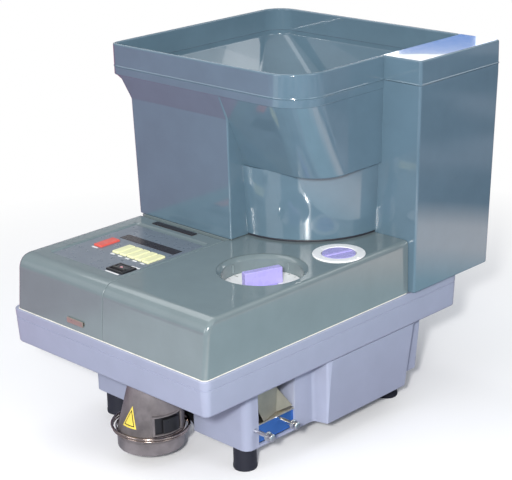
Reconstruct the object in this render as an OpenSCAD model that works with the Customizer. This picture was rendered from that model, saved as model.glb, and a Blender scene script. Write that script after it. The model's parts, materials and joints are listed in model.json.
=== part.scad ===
/* [Tray] */
// Width of the base tray
tray_w = 285; // [284:0.5:287]
// Depth of the base tray, front to back
tray_d = 374; // [373:0.5:376]
// Wall and floor thickness of the tray
tray_wall = 3; // [2.6:0.1:3]
// Depth of the groove that runs round the tray
groove = 0.8; // [0.4:0.1:1]

/* [Deck] */
// Wall thickness of the deck and the control cover
deck_wall = 2.5; // [2.2:0.1:2.6]
// Radius of the long front top edge
deck_front_r = 16; // [12:1:18]
// Radius of the side ridges
deck_side_r = 5; // [3:0.5:6]
// Radius of the front corners of the deck, seen from above
deck_corner_r = 5; // [4:0.5:8]
// Depth of the recess that holds the control panel
recess_depth = 2; // [1.8:0.1:2]

/* [Hopper] */
// Wall thickness of the hopper mouldings
hopper_wall = 3; // [2.6:0.1:3.2]
// Outer radius of the drum above the feed disc, at its lower edge
drum_r = 90.5; // [90.2:0.1:91]
// Outer radius of the drum where it meets the funnel
drum_top_r = 94.5; // [93:0.5:95]
// Thickness of the lip round the hopper mouth
rim_lip = 4; // [3.4:0.1:4.5]

/* [Dials] */
// Outer radius of the thickness dial well
well_r = 45; // [44.5:0.1:45.5]
// Length of the bar on the thickness knob
bar_l = 40.6; // [36:0.2:44]
// Outer radius of the ring round the diameter dial
bezel_r = 25.5; // [24.8:0.1:25.8]

/* [Keys] */
// Spacing of the pale keys
key_pitch = 11.2; // [11:0.1:11.3]
// Width of one key cap
key_w = 9.6; // [9:0.1:9.8]
// Length of one key cap
key_l = 24; // [22:0.5:25]

/* [Feed] */
// Radius of the feed disc
disc_r = 83.5; // [83:0.1:83.6]
// Radius of the pulley under the feed disc
disc_pulley_r = 28; // [26:0.5:29]
// Radius of the pulley on the motor
motor_pulley_r = 10; // [9:0.5:12]

/* [Spout] */
// Outer radius of the spout collar
collar_r = 33.5; // [33.2:0.1:33.6]
// Radius of the bag ring, to the middle of its wire
ring_r = 39.8; // [39.4:0.1:41]

/* [Feet] */
// Radius of a rubber foot
foot_r = 12; // [10:0.5:13]

/* [Hidden] */
$fn = 64;
eps = 0.01;

// Heights above the table
foot_h = 25;
tray_bottom = 92.6;
tray_top = 130;
cover_bottom = 130.9;
plate_z = 140;
track_z = 150;
deck_top = 187;
tower_z = 187.5;
drum_z = 189;
funnel_z = 262;
flare_z = 314.5;
band_z = 340;
rim_seam = 348.6;
rim_top = 373.3;

// Plan of the hopper mouth and of the tower behind its right side
mouth_x0 = -164;
mouth_x1 = 105.8;
mouth_y0 = 164.2;
hopper_y1 = 422;
tower_x1 = 152;
tower_y0 = 291;
left_x0 = -141.6;
left_x_flare = -146.4;
left_x_top = -151.5;
left_x1 = -0.8;
left_y0 = 175.5;

// Sides of the base tray
tray_x1 = 140;
tray_x0 = tray_x1 - tray_w;

// The origin is on the table under the middle of the whole outline
origin_x = (mouth_x0 + tower_x1) / 2;
origin_y = hopper_y1 / 2;

// Deck
deck_x = 138;
deck_y0 = 2;
deck_lean = 4;
deck_y1 = 290.5;
seam_x = -5;
seam_gap = 0.5;
seat_gap = 0.01;
cover_y1 = 174.5;
hinge_y = 168.5;
hinge_z = 181;
hinge_roll_r = 6;
skin = 3.5;

// Feed disc, motor and track
disc_x = 4;
disc_y = 290;
motor_x = 70;
motor_y = 245;
plate_t = 3;
shaft_r = 6;
fit_gap = 0.05;
spout_x = 13.4;
spout_y = 42;
exit_x = 42;
track_angle = -atan((exit_x - spout_x) / (206 - spout_y));
belt_z = 158.3;
belt_y0 = 26;
belt_y1 = 134;
feed_pulley_r = 5.5;

// Dials
thick_x = 82;
thick_y = 135.6;
thick_floor_z = 171;
bar_angle = 70.6;
ridge_angle = 73;
diam_x = 109.5;
diam_y = 216.5;
spindle_r = 3;

// Control panel
panel_x0 = -119;
panel_x1 = -10;
panel_y0 = 33;
panel_y1 = 153;
panel_z = deck_top - recess_depth;
pale_x0 = -66.6;
pale_y = 87.6;
red_x = -96;
red_y = 90;
key_top = 187.6;
rocker_x = -25.5;
rocker_y = 48.5;
rocker_tilt = 8;
window = [-99, -17, 109.5, 122.5];

// Feet, pedestal and outlets
feet_at = [[101.5, 85], [-88, 85], [100, 302], [-95, 302]];
post_at = [[-121, 24], [-121, 345], [121, 345], [121, 24], [-17, 150]];
outlet_y0 = 88.5;
outlet_y1 = 140;
stud_y = [84, 119];
stud_z = 44.3;
button_angle = -8;
notch_r = 43;
lug_y = 325;
lug_x = 123;

function arc(x, y, r, a0, a1, n = 8) =
    [for (i = [0:n]) [x + r * cos(a0 + (a1 - a0) * i / n), y + r * sin(a0 + (a1 - a0) * i / n)]];

// Rounded rectangle; radii run front left, front right, back right, back left
function round_rect(x0, x1, y0, y1, r) = concat(
    arc(x0 + r[0], y0 + r[0], r[0], 180, 270),
    arc(x1 - r[1], y0 + r[1], r[1], 270, 360),
    arc(x1 - r[2], y1 - r[2], r[2], 0, 90),
    arc(x0 + r[3], y1 - r[3], r[3], 90, 180));

module in_frame() {
    translate([-origin_x, -origin_y, 0])
        children();
}

module box(x0, x1, y0, y1, z0, z1) {
    translate([x0, y0, z0])
        cube([x1 - x0, y1 - y0, z1 - z0]);
}

module rod(x, y, z0, z1, r) {
    translate([x, y, z0])
        cylinder(h = z1 - z0, r = r);
}

module tube(x, y, z0, z1, r_out, r_in) {
    difference() {
        rod(x, y, z0, z1, r_out);
        rod(x, y, z0 - 1, z1 + 1, r_in);
    }
}

module plan(z0, z1, points) {
    translate([0, 0, z0])
        linear_extrude(z1 - z0)
            polygon(points);
}

// Outline in Y and Z, extruded along X
module side_form(x0, x1, points) {
    translate([x0, 0, 0])
        rotate([90, 0, 90])
            linear_extrude(x1 - x0)
                polygon(points);
}

// Outline in X and Z, extruded along Y
module front_form(y0, y1, points) {
    translate([0, y1, 0])
        rotate([90, 0, 0])
            linear_extrude(y1 - y0)
                polygon(points);
}

module x_rod(x0, x1, y, z, r) {
    translate([x0, y, z])
        rotate([0, 90, 0])
            cylinder(h = x1 - x0, r = r);
}

// Local frame of the coin track: origin over the spout, +Y back to the disc
module along_track() {
    translate([spout_x, spout_y, 0])
        rotate([0, 0, track_angle])
            children();
}

// ---------------------------------------------------------------- base

module tray_slab(x_in, z, r) {
    plan(z, z + eps, round_rect(tray_x0 + x_in, tray_x1 - x_in, x_in, tray_d - x_in, [r, r, r, r]));
}

module base_tray() {
    draft = 2.2;
    groove_z = tray_top - 10;
    color([0.67, 0.68, 0.80]) in_frame() difference() {
        hull() {
            tray_slab(draft, tray_bottom, 10);
            tray_slab(0, tray_top - eps, 9);
        }
        plan(tray_bottom + tray_wall, tray_top + 1, round_rect(tray_x0 + tray_wall + draft,
            tray_x1 - tray_wall - draft, tray_wall + draft, tray_d - tray_wall - draft, [6, 6, 6, 6]));
        difference() {
            box(-tray_w, tray_w, -9, tray_d + 9, groove_z, groove_z + 1.2);
            box(tray_x0 + groove + 0.6, tray_x1 - groove - 0.6, groove + 0.6, tray_d - groove - 0.6,
                groove_z - 1, groove_z + 2);
        }
        rod(spout_x, spout_y, tray_bottom - 1, tray_top, 22);
        box(33, 112, outlet_y0 + 0.5, outlet_y1 - 0.5, tray_bottom - 1, tray_top);
        rod(motor_x, motor_y, tray_bottom - 1, tray_top, 31);
        rod(-75, 205, tray_bottom - 1, tray_top, 8);
        for (p = post_at)
            rod(p[0], p[1], tray_bottom - 1, tray_top, 2.05);
        box(-110, -60, tray_d - 9, tray_d + 1, 98, 124);
    }
}

// Plan of the pedestal, pulled in by t
function pedestal_plan(t) = concat(
    arc(-100, 80, 8 - t, 180, 270),
    arc(109, 81, 9 - t, 270, 360),
    arc(122, 163, 4 + t, 180, 100, 5),
    arc(128, 177.5, 9 - t, 300, 360, 6),
    [[137 - t, 303 - t], [-137 + t, 303 - t], [-137 + t, 180 + t], [-108 + t, 170 + t]]);

module pedestal_form(t, z0, z1) {
    intersection() {
        plan(z0, z1, pedestal_plan(t));
        front_form(0, tray_d, [[-133.8 + t, foot_h - 1], [133.8 - t, foot_h - 1],
            [136.9 - t, tray_bottom + 2], [-136.9 + t, tray_bottom + 2]]);
        side_form(-tray_w, tray_w, [[0, foot_h - 1], [291 - t, foot_h - 1], [302 - t, tray_bottom + 2],
            [0, tray_bottom + 2]]);
    }
}

module pedestal() {
    wall = 3;
    color([0.66, 0.67, 0.80]) in_frame() difference() {
        pedestal_form(0, foot_h, tray_bottom);
        pedestal_form(wall, foot_h - 1, tray_bottom + 1);
        box(100, 121, outlet_y0, outlet_y1, foot_h + 2.4, tray_bottom + 1);
        rod(spout_x, spout_y, foot_h - 1, tray_bottom + 1, notch_r);
        x_rod(100, 130, stud_y[0], stud_z, 2.4);
        box(-60, 60, 285, 310, foot_h + 12, 80);
        box(-50.2, 50.2, 285, 295, foot_h - 1, foot_h + 2.2);
    }
}

module bottom_plate() {
    color([0.55, 0.56, 0.58]) in_frame() difference() {
        union() {
            pedestal_form(3.1, foot_h, foot_h + 2);
            box(-118, 118, 250, 288, foot_h, foot_h + 2);
            box(-118, 118, 291.5, 314, foot_h, foot_h + 2);
            box(-50, 50, 280, 300, foot_h, foot_h + 2);
        }
        rod(spout_x, spout_y, foot_h - 1, foot_h + 3, notch_r);
        for (p = feet_at)
            rod(p[0], p[1], foot_h - 1, foot_h + 3, 2.05);
    }
}

module feet() {
    color([0.07, 0.07, 0.09]) in_frame() for (p = feet_at)
        translate([p[0], p[1], 0])
            rotate_extrude()
                polygon([[5.2, 0], [foot_r - 1.2, 0], [foot_r, 1.2], [foot_r, foot_h], [2.05, foot_h],
                    [2.05, 8], [5.2, 8]]);
}

module foot_screws() {
    color([0.75, 0.75, 0.77]) in_frame() for (p = feet_at) {
        rod(p[0], p[1], 5, 8, 4.5);
        rod(p[0], p[1], 7.9, foot_h + 6, 2);
    }
}

module tray_screws() {
    color([0.75, 0.75, 0.77]) in_frame() for (p = post_at) {
        rod(p[0], p[1], tray_bottom - 2.4, tray_bottom, 4);
        rod(p[0], p[1], tray_bottom - 0.1, tray_bottom + 18, 2);
    }
}

module rear_cover() {
    y0 = 302.2;
    color([0.62, 0.63, 0.76]) in_frame() difference() {
        side_form(-126, 126, [[y0 - 8, 34], [318, 34], [325, 80], [325, 89], [y0, 89], [y0, 86]]);
        side_form(-123.5, 123.5, [[y0 - 14, 31], [315.4, 36.5], [322.4, 80], [322.4, 86.5], [y0 - 14, 86.5]]);
        pedestal_form(-0.1, foot_h, tray_bottom);
        for (i = [-4:4])
            box(i * 11 - 3, i * 11 + 3, 300, 330, 50, 72);
    }
}

// ---------------------------------------------------------------- deck and cover

module deck_form(x0, x1, y1, t, z0, r_left, r_right, r_back) {
    top = deck_top - t;
    front_r = deck_front_r - t;
    x_lo = x0 + t;
    x_hi = x1 - t;
    intersection() {
        side_form(x0 - 1, x1 + 1, concat([[deck_y0 + t, z0]],
            arc(deck_y0 + deck_lean + t + front_r, top - front_r, front_r, 180, 90, 12),
            r_back > 0 ? arc(y1 - r_back, deck_top - r_back, r_back - t, 90, 0, 8) : [[y1, top]],
            [[y1, z0]]));
        front_form(0, y1 + 1, concat([[x_lo - (t > 0 ? 0.1 : 0), z0]],
            arc(x_lo + r_left, top - r_left, r_left, 180, 90, 6),
            arc(x_hi - r_right, top - r_right, r_right, 90, 0, 6),
            [[x_hi, z0]]));
        plan(z0, deck_top + 1, round_rect(x_lo, x_hi, deck_y0 + t, y1 + 1,
            [r_left > 1 ? deck_corner_r : 0.4, r_right > 1 ? deck_corner_r : 0.4, 0.4, 0.4]));
    }
}

module deck_cover() {
    edge_x = seam_x + seam_gap / 2;
    sharp = 0.4;
    color([0.45, 0.53, 0.55]) in_frame() difference() {
        union() {
            difference() {
                deck_form(edge_x, deck_x, deck_y1, 0, cover_bottom, sharp, deck_side_r, 0);
                deck_form(edge_x, deck_x, deck_y1 + 1, deck_wall, cover_bottom - 1, sharp, deck_side_r - 2, 0);
                box(edge_x - 1, 0, 10, 180, cover_bottom - 1, 172);
                box(edge_x - 1, 0, 178.5, deck_y1 + 1, cover_bottom - 1, deck_top - deck_wall);
            }
            difference() {
                box(-deck_x, edge_x + 1, 176, deck_y1, cover_bottom, deck_top);
                box(-deck_x + deck_wall, edge_x + 3, 178.5, deck_y1 + 1, cover_bottom - 1, deck_top - deck_wall);
                box(-deck_x + deck_wall, 0, 175, 180, cover_bottom - 1, 158);
            }
            rod(thick_x, thick_y, thick_floor_z - deck_wall, deck_top - 1, well_r - 2);
            rod(diam_x, diam_y, 172, deck_top - 1, bezel_r + 1);
        }
        rod(disc_x, disc_y, cover_bottom - 1, deck_top + 1, 87);
        rod(thick_x, thick_y, thick_floor_z, deck_top + 1, well_r - 4.5);
        translate([thick_x, thick_y, deck_top - 3])
            cylinder(h = 3 + eps, r1 = well_r - 4.5, r2 = well_r);
        rod(thick_x, thick_y, 160, deck_top, spindle_r + fit_gap);
        rod(diam_x, diam_y, 175, deck_top + 1, bezel_r - 1.5);
        rod(diam_x, diam_y, 160, deck_top, spindle_r + fit_gap);
    }
}

module hinge_eye(x0, x1, r) {
    x_rod(x0, x1, hinge_y, hinge_z, r);
}

module control_cover() {
    edge_x = seam_x - seam_gap / 2;
    roll_r = hinge_roll_r;
    cut_z = hinge_z + roll_r * sin(15);
    color([0.45, 0.53, 0.55]) in_frame() difference() {
        union() {
            difference() {
                deck_form(-deck_x, edge_x, cover_y1, 0, cover_bottom, deck_side_r, 0.4, roll_r);
                difference() {
                    deck_form(-deck_x, edge_x, cover_y1, deck_wall, cover_bottom - 1, deck_side_r - 2, 0.4, roll_r);
                    box(panel_x0 - 3, panel_x1 + 3, panel_y0 - 3, panel_y1 + 3, deck_top - skin, deck_top);
                }
                box(-deck_x + deck_wall, edge_x - deck_wall, 171, 176, cover_bottom - 1, cut_z);
                box(edge_x - 4, edge_x + 1, 10, 176, cover_bottom - 1, 172);
            }
            for (x = [-122.8, -101.7, -48.8, -27.7])
                hinge_eye(x, x + 4.5, hinge_roll_r - 2);
        }
        hinge_eye(-124, -20, 2 + fit_gap);
        box(panel_x0, panel_x1, panel_y0, panel_y1, panel_z, deck_top + 1);
        for (i = [0:4])
            box(pale_x0 + i * key_pitch - key_w / 2 - 0.3, pale_x0 + i * key_pitch + key_w / 2 + 0.3,
                pale_y - key_l / 2 - 0.3, pale_y + key_l / 2 + 0.3, 180, deck_top);
        box(red_x - 6.3, red_x + 6.3, red_y - 13.3, red_y + 13.3, 180, deck_top);
        box(window[0] - 0.1, window[1] + 0.1, window[2] - 0.1, window[3] + 0.1, 180, deck_top);
        box(rocker_x - 11.1, rocker_x + 11.1, rocker_y - 8.6, rocker_y + 8.6, 180, deck_top);
        box(-51, -31, 0, 8, 138, 141.6);
    }
}

module hinge_brackets() {
    color([0.62, 0.63, 0.65]) in_frame() for (x = [-118, -44])
        difference() {
            union() {
                hinge_eye(x, x + 16, 3.3);
                box(x, x + 16, hinge_y - 2, hinge_y + 2, 171, 178.5);
                box(x, x + 16, hinge_y - 2, 176, 171, 173);
                box(x, x + 16, 174.6, 176, 159.5, 173);
            }
            hinge_eye(x - 1, x + 17, 2);
        }
}

module hinge_pins() {
    color([0.78, 0.78, 0.80]) in_frame() {
        hinge_eye(-123.5, -96.8, 2);
        hinge_eye(-49.5, -22.8, 2);
    }
}

module cover_latch() {
    color([0.50, 0.40, 0.30]) in_frame() {
        box(-56, -32, 0.8, 2.3, 137, 142.6);
        box(-50.5, -38, 2.2, 6.1, 138.3, 141.3);
        box(-53, -35.5, 6.0, 7.2, 136, 143.6);
    }
}

module control_panel() {
    color([0.50, 0.52, 0.66]) in_frame() difference() {
        box(panel_x0 + 0.4, panel_x1 - 0.4, panel_y0 + 0.4, panel_y1 - 0.4, panel_z, panel_z + 0.8);
        for (i = [0:4])
            box(pale_x0 + i * key_pitch - key_w / 2 - 0.3, pale_x0 + i * key_pitch + key_w / 2 + 0.3,
                pale_y - key_l / 2 - 0.3, pale_y + key_l / 2 + 0.3, 180, deck_top);
        box(red_x - 6.3, red_x + 6.3, red_y - 13.3, red_y + 13.3, 180, deck_top);
        box(window[0] - 0.1, window[1] + 0.1, window[2] - 0.1, window[3] + 0.1, 180, deck_top);
        box(rocker_x - 11.1, rocker_x + 11.1, rocker_y - 8.6, rocker_y + 8.6, 180, deck_top);
    }
}

module display_window() {
    color([0.16, 0.10, 0.12]) in_frame()
        box(window[0], window[1], window[2], window[3], panel_z - 1.4, panel_z + 1);
}

module display_board() {
    color([0.10, 0.35, 0.22]) in_frame() {
        box(-108, -12, 104, 132, 174, 175.6);
        box(-97, -19, 111, 121, 175.5, panel_z - 1.5);
        box(-112, -12, 70, 103, 178, 179.4);
        for (x = [-109, -13.9], y = [73, 100])
            rod(x, y, 179.3, deck_top - skin, 1.8);
        for (x = [-105, -14], y = [107, 129])
            rod(x, y, 175.5, deck_top - skin, 1.6);
    }
}

module key(x, y, w, l) {
    box(x - w / 2, x + w / 2, y - l / 2, y + l / 2, 181.6, key_top);
    box(x - w / 2 - 0.6, x + w / 2 + 0.6, y - l / 2 - 1, y + l / 2 + 1, 181.4, 182.4);
}

module pale_key(i) {
    color([0.89, 0.91, 0.62]) in_frame()
        key(pale_x0 + i * key_pitch, pale_y, key_w, key_l);
}

module red_key() {
    color([0.85, 0.22, 0.20]) in_frame()
        key(red_x, red_y, 12, 26);
}

module rocker_frame() {
    color([0.05, 0.05, 0.06]) in_frame() difference() {
        union() {
            box(rocker_x - 12.5, rocker_x + 12.5, rocker_y - 9.8, rocker_y + 9.8, panel_z + 0.8, panel_z + 2.6);
            box(rocker_x - 11, rocker_x + 11, rocker_y - 8.5, rocker_y + 8.5, 165, panel_z + 1);
        }
        box(rocker_x - 9.4, rocker_x + 9.4, rocker_y - 7.4, rocker_y + 7.4, 172, 200);
        x_rod(rocker_x - 10.4, rocker_x + 10.4, rocker_y, 180, 1.5 + fit_gap);
    }
}

module rocker_paddle() {
    color([0.10, 0.08, 0.09]) in_frame() translate([rocker_x, rocker_y, 180]) rotate([-rocker_tilt, 0, 0]) {
        box(-9.1, 9.1, -6.0, 6.0, -4, 8.6);
        x_rod(-10.3, 10.3, 0, 0, 1.5);
    }
}

// ---------------------------------------------------------------- hopper

// Outline of the left side from the bottom up: drafted wall, flare, then up to the mouth
function left_side(t, z0, z1) =
    [[left_x_top + t, z1], [left_x_top + t, band_z], [left_x_flare + t, flare_z], [left_x0 + t, z0]];

module left_tower(t, z0, z1) {
    flare_y = mouth_y0 + 0.6 + t;
    intersection() {
        front_form(100, hopper_y1, concat(left_side(t, z0, z1), [[left_x1 - t, z0], [left_x1 - t, z1]]));
        side_form(-200, 100, [[left_y0 + t, z0], [300 - t, z0], [300 - t, z1],
            [flare_y, z1], [flare_y, band_z], [left_y0 + t, flare_z]]);
    }
}

module rear_tower(t, z0, z1) {
    intersection() {
        front_form(tower_y0 - 1, hopper_y1 + 1, concat(left_side(t, z0, z1),
            [[145.5 - t, z0], [tower_x1 - t, z1]]));
        side_form(-200, 200, [[tower_y0 + t, z0], [416 - t, z0], [hopper_y1 - t, z1], [tower_y0 + t, z1]]);
        plan(z0, z1, round_rect(left_x_top + t, tower_x1 - t, tower_y0 + t, hopper_y1 - t, [2, 2, 3, 20]));
    }
}

function mouth_plan(t) = round_rect(mouth_x0 + t, mouth_x1 - t, mouth_y0 + t, hopper_y1 - t,
    [10 - t, 40 - t, 8 - t, 28 - t]);

module funnel_outside() {
    corner = 38;
    hull() {
        plan(band_z, band_z + eps, mouth_plan(0.8));
        plan(funnel_z, funnel_z + eps, round_rect(disc_x - drum_top_r, 102.5, disc_y - 92,
            disc_y + 92, [corner, corner, corner, corner]));
    }
}

module funnel_inside() {
    hull() {
        plan(band_z + 0.1, band_z + 0.2, mouth_plan(hopper_wall));
        rod(disc_x, disc_y, funnel_z, funnel_z + 0.1, drum_top_r - hopper_wall - 2);
    }
}

module drum(t, z0, z1) {
    translate([disc_x, disc_y, z0])
        cylinder(h = z1 - z0, r1 = drum_r - t, r2 = drum_top_r - t);
}

module hopper_body() {
    z_foot = tray_top + 1;
    color([0.38, 0.47, 0.54]) in_frame() difference() {
        union() {
            difference() {
                union() {
                    left_tower(0, tower_z, band_z + 1);
                    rear_tower(0, z_foot, band_z + 1);
                }
                left_tower(hopper_wall, tower_z - 1, band_z + 2);
                rear_tower(hopper_wall, z_foot - 1, band_z + 2);
                box(-138, 135, tower_y0 - 1, tower_y0 + 4, z_foot - 1, tower_z);
                box(-138, -5, tower_y0 - 10, 302, tower_z - 1, band_z + 2);
            }
            plan(band_z, rim_seam, mouth_plan(0));
            difference() {
                plan(band_z, rim_seam, round_rect(90, tower_x1, tower_y0, hopper_y1, [2, 2, 3, 2]));
                plan(band_z - 1, rim_seam + 1, round_rect(mouth_x1 + 2, tower_x1 - hopper_wall,
                    tower_y0 + hopper_wall, hopper_y1 - hopper_wall, [1, 1, 1, 1]));
            }
            funnel_outside();
            drum(0, drum_z, funnel_z + 0.1);
            box(left_x0 + 1, 144, tray_d + 2, 414, z_foot, z_foot + 3);
            for (span = [[-140, -lug_x + 4.5], [lug_x - 4.5, 144]])
                box(span[0], span[1], lug_y - 8, lug_y + 8, plate_z + plate_t, plate_z + 9);
        }
        funnel_inside();
        plan(band_z, rim_seam + 1, mouth_plan(rim_lip));
        drum(hopper_wall, drum_z - eps, funnel_z + 0.2);
        rod(disc_x, disc_y, tower_z - 1, drum_z, drum_r - hopper_wall);
        for (x = [-lug_x, lug_x])
            rod(x, lug_y, plate_z, plate_z + 10, 2.1);
    }
}

module hopper_rim() {
    z0 = rim_seam + 0.3;
    color([0.38, 0.47, 0.54]) in_frame() difference() {
        union() {
            plan(z0, rim_top, mouth_plan(0));
            plan(z0, rim_top, round_rect(90, tower_x1, tower_y0, hopper_y1, [2, 2, 3, 2]));
        }
        plan(z0 - 1, rim_top + 1, mouth_plan(rim_lip));
        plan(z0 - 1, rim_top - hopper_wall, round_rect(mouth_x1 + 2, tower_x1 - hopper_wall,
            tower_y0 + hopper_wall, hopper_y1 - hopper_wall, [1, 1, 1, 1]));
    }
}

module hopper_screws() {
    color([0.75, 0.75, 0.77]) in_frame() for (x = [-lug_x, lug_x]) {
        rod(x, lug_y, plate_z + 9, plate_z + 12, 4);
        rod(x, lug_y, plate_z - 4, plate_z + 9.1, 2);
    }
}

// ---------------------------------------------------------------- feed

// The stand-offs of the motor keep clear of the belt, which runs toward the disc
module at_motor_holes() {
    toward_disc = atan2(disc_y - motor_y, disc_x - motor_x);
    translate([motor_x, motor_y, 0])
        for (i = [0:3])
            rotate([0, 0, toward_disc + 90 * i])
                translate([21, 0, 0])
                    children();
}

module chassis_plate() {
    color([0.70, 0.71, 0.73]) in_frame() difference() {
        plan(plate_z, plate_z + plate_t, round_rect(-128, 128, 12, 360, [8, 8, 8, 8]));
        rod(disc_x, disc_y, plate_z - 1, plate_z + 4, 13);
        rod(spout_x, spout_y, plate_z - 1, plate_z + 4, 20);
        box(38, 62, 92, 136, plate_z - 1, plate_z + 4);
        rod(motor_x, motor_y, plate_z - 1, plate_z + 4, 4);
        for (p = post_at)
            rod(p[0], p[1], plate_z - 1, plate_z + 4, 1.6);
        for (x = [-lug_x, lug_x])
            rod(x, lug_y, plate_z - 1, plate_z + 4, 2.05);
        at_motor_holes()
            rod(0, 0, plate_z - 1, plate_z + 4, 1.6);
    }
}

module chassis_posts() {
    color([0.72, 0.72, 0.74]) in_frame() for (p = post_at)
        difference() {
            rod(p[0], p[1], tray_bottom + tray_wall, plate_z, 5);
            rod(p[0], p[1], tray_bottom + tray_wall - 1, tray_bottom + 20, 2.05);
        }
}

module well_ring() {
    color([0.72, 0.73, 0.75]) in_frame() difference() {
        rod(disc_x, disc_y, plate_z + plate_t, deck_top - 0.3, 86.6);
        rod(disc_x, disc_y, plate_z, deck_top + 1, disc_r + 0.6);
        along_track()
            box(-16, 16, 140, 190, track_z, track_z + 9);
    }
}

module disc_bearing() {
    color([0.60, 0.61, 0.63]) in_frame() {
        tube(disc_x, disc_y, 131.5, plate_z + plate_t, 12.9, shaft_r + fit_gap);
        tube(disc_x, disc_y, 131.5, plate_z, 18, 12.8);
    }
}

module feed_disc() {
    grooves = [34, 46, 58, 70];
    color([0.62, 0.60, 0.56]) in_frame() difference() {
        union() {
            rod(disc_x, disc_y, track_z - 5, track_z, disc_r);
            translate([disc_x, disc_y, track_z - 0.1])
                cylinder(h = 9, r1 = 24, r2 = 12);
        }
        rod(disc_x, disc_y, track_z - 6, track_z + 5, shaft_r);
        for (r = grooves)
            tube(disc_x, disc_y, track_z - 1, track_z + 1, r + 1.5, r);
    }
}

module disc_shaft() {
    color([0.80, 0.80, 0.82]) in_frame()
        rod(disc_x, disc_y, 114, track_z + 4.9, shaft_r);
}

// Pulley with a belt land between two rims
module belt_pulley(x, y, z0, r, bore) {
    difference() {
        union() {
            rod(x, y, z0, z0 + 1.5, r + 3);
            rod(x, y, z0 + 1.4, z0 + 10.6, r);
            rod(x, y, z0 + 10.5, z0 + 12, r + 3);
        }
        rod(x, y, z0 - 1, z0 + 13, bore);
    }
}

module disc_pulley() {
    color([0.20, 0.20, 0.22]) in_frame()
        belt_pulley(disc_x, disc_y, 117, disc_pulley_r, shaft_r);
}

module motor_pulley() {
    color([0.78, 0.79, 0.80]) in_frame() {
        belt_pulley(motor_x, motor_y, 117, motor_pulley_r, 3);
        rod(motor_x, motor_y, 108, 129.5, 3);
    }
}

module belt_loop(grow) {
    hull() {
        translate([disc_x, disc_y])
            circle(r = disc_pulley_r + grow);
        translate([motor_x, motor_y])
            circle(r = motor_pulley_r + grow);
    }
}

module drive_belt() {
    slack = 0.15;
    belt_t = 1.6;
    color([0.09, 0.09, 0.10]) in_frame() translate([0, 0, 119.5])
        linear_extrude(7)
            difference() {
                belt_loop(slack + belt_t);
                belt_loop(slack);
            }
}

module drive_motor() {
    color([0.30, 0.31, 0.33]) in_frame() difference() {
        union() {
            rod(motor_x, motor_y, 50, 108, 27);
            rod(motor_x, motor_y, 107.9, 111, 9);
        }
        rod(motor_x, motor_y, 100, 112, 3 + fit_gap);
        at_motor_holes()
            rod(0, 0, 104, 109, 1.6);
    }
}

module motor_bracket() {
    color([0.75, 0.76, 0.78]) in_frame() at_motor_holes() {
        rod(0, 0, 108, plate_z, 3);
        rod(0, 0, 104.5, 108.1, 1.55);
    }
}

module coin_track() {
    color([0.80, 0.81, 0.82]) in_frame() difference() {
        along_track() difference() {
            union() {
                box(-19, 19, 10, 176, plate_z + plate_t + seat_gap, track_z);
                box(-19, -15, 10, 142, track_z - 0.1, track_z + 6);
                box(-17, -14, 143, 148, track_z - 0.1, track_z + 14);
                box(14, 17, 143, 148, track_z - 0.1, track_z + 14);
            }
            box(9, 20, 52, 94, plate_z, track_z + 1);
        }
        rod(disc_x, disc_y, plate_z, track_z + 20, 87);
    }
}

// Pulley shafts lie across the track
module track_rod(x0, x1, y, r) {
    x_rod(x0, x1, y, belt_z, r);
}

module feed_frame() {
    color([0.64, 0.65, 0.67]) in_frame() along_track() difference() {
        union() {
            for (x = [-7.2, 6])
                box(x, x + 1.2, 18, 142, track_z + 3.2, 167);
            box(-22, 7.2, 70, 90, 166, 167.2);
            box(-22, -20.5, 70, 90, plate_z + plate_t, 167.2);
        }
        for (y = [belt_y0, belt_y1])
            track_rod(-8, 8, y, 2 + fit_gap);
    }
}

module feed_pulley(y) {
    color([0.25, 0.25, 0.27]) in_frame() along_track() {
        track_rod(-4.6, 4.6, y, feed_pulley_r);
        track_rod(-8.4, 8.4, y, 2);
    }
}

module feed_belt() {
    slack = 0.1;
    span = belt_y1 - belt_y0;
    color([0.55, 0.20, 0.14]) in_frame() along_track() difference() {
        union() {
            for (y = [belt_y0, belt_y1])
                track_rod(-4, 4, y, feed_pulley_r + slack + 1);
            box(-4, 4, belt_y0, belt_y1, belt_z - feed_pulley_r - slack - 1, belt_z + feed_pulley_r + slack + 1);
        }
        for (y = [belt_y0, belt_y1])
            track_rod(-5, 5, y, feed_pulley_r + slack);
        box(-5, 5, belt_y0, belt_y1, belt_z - feed_pulley_r - slack, belt_z + feed_pulley_r + slack);
    }
}

module width_rail() {
    color([0.76, 0.72, 0.58]) in_frame() along_track() {
        box(14.5, 18, 98, 140, track_z + 0.1, track_z + 5);
        box(17.9, 26, 112, 124, track_z + 2, track_z + 4);
    }
}

module thickness_gate() {
    color([0.76, 0.72, 0.58]) in_frame() along_track()
        box(-13.8, 13.8, 144, 147, track_z + 2.2, track_z + 13);
}

module coin_sensor() {
    color([0.08, 0.08, 0.09]) in_frame() along_track() {
        box(9.5, 19.1, 24, 40, track_z + 3, track_z + 12);
        box(19.1, 22, 24, 40, plate_z + plate_t, track_z + 12);
    }
}

module drop_tube() {
    color([0.30, 0.30, 0.32]) in_frame()
        tube(spout_x, spout_y, tray_bottom, plate_z, 21.8, 19.8);
}

// ---------------------------------------------------------------- dials

module thickness_scale() {
    color([0.95, 0.95, 0.94]) in_frame()
        tube(thick_x, thick_y, thick_floor_z, thick_floor_z + 1.6, well_r - 4.7, 15.2);
}

module thickness_knob() {
    color([0.68, 0.64, 0.88]) in_frame() translate([thick_x, thick_y, 0]) rotate([0, 0, bar_angle]) {
        rod(0, 0, thick_floor_z + 0.1, thick_floor_z + 4, 15);
        box(-bar_l / 2, bar_l / 2, -4.2, 4.2, thick_floor_z + 1.8, deck_top);
        rod(0, 0, 163, thick_floor_z + 1, spindle_r);
        rod(0, 0, 161, 163.1, 7);
    }
}

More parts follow.
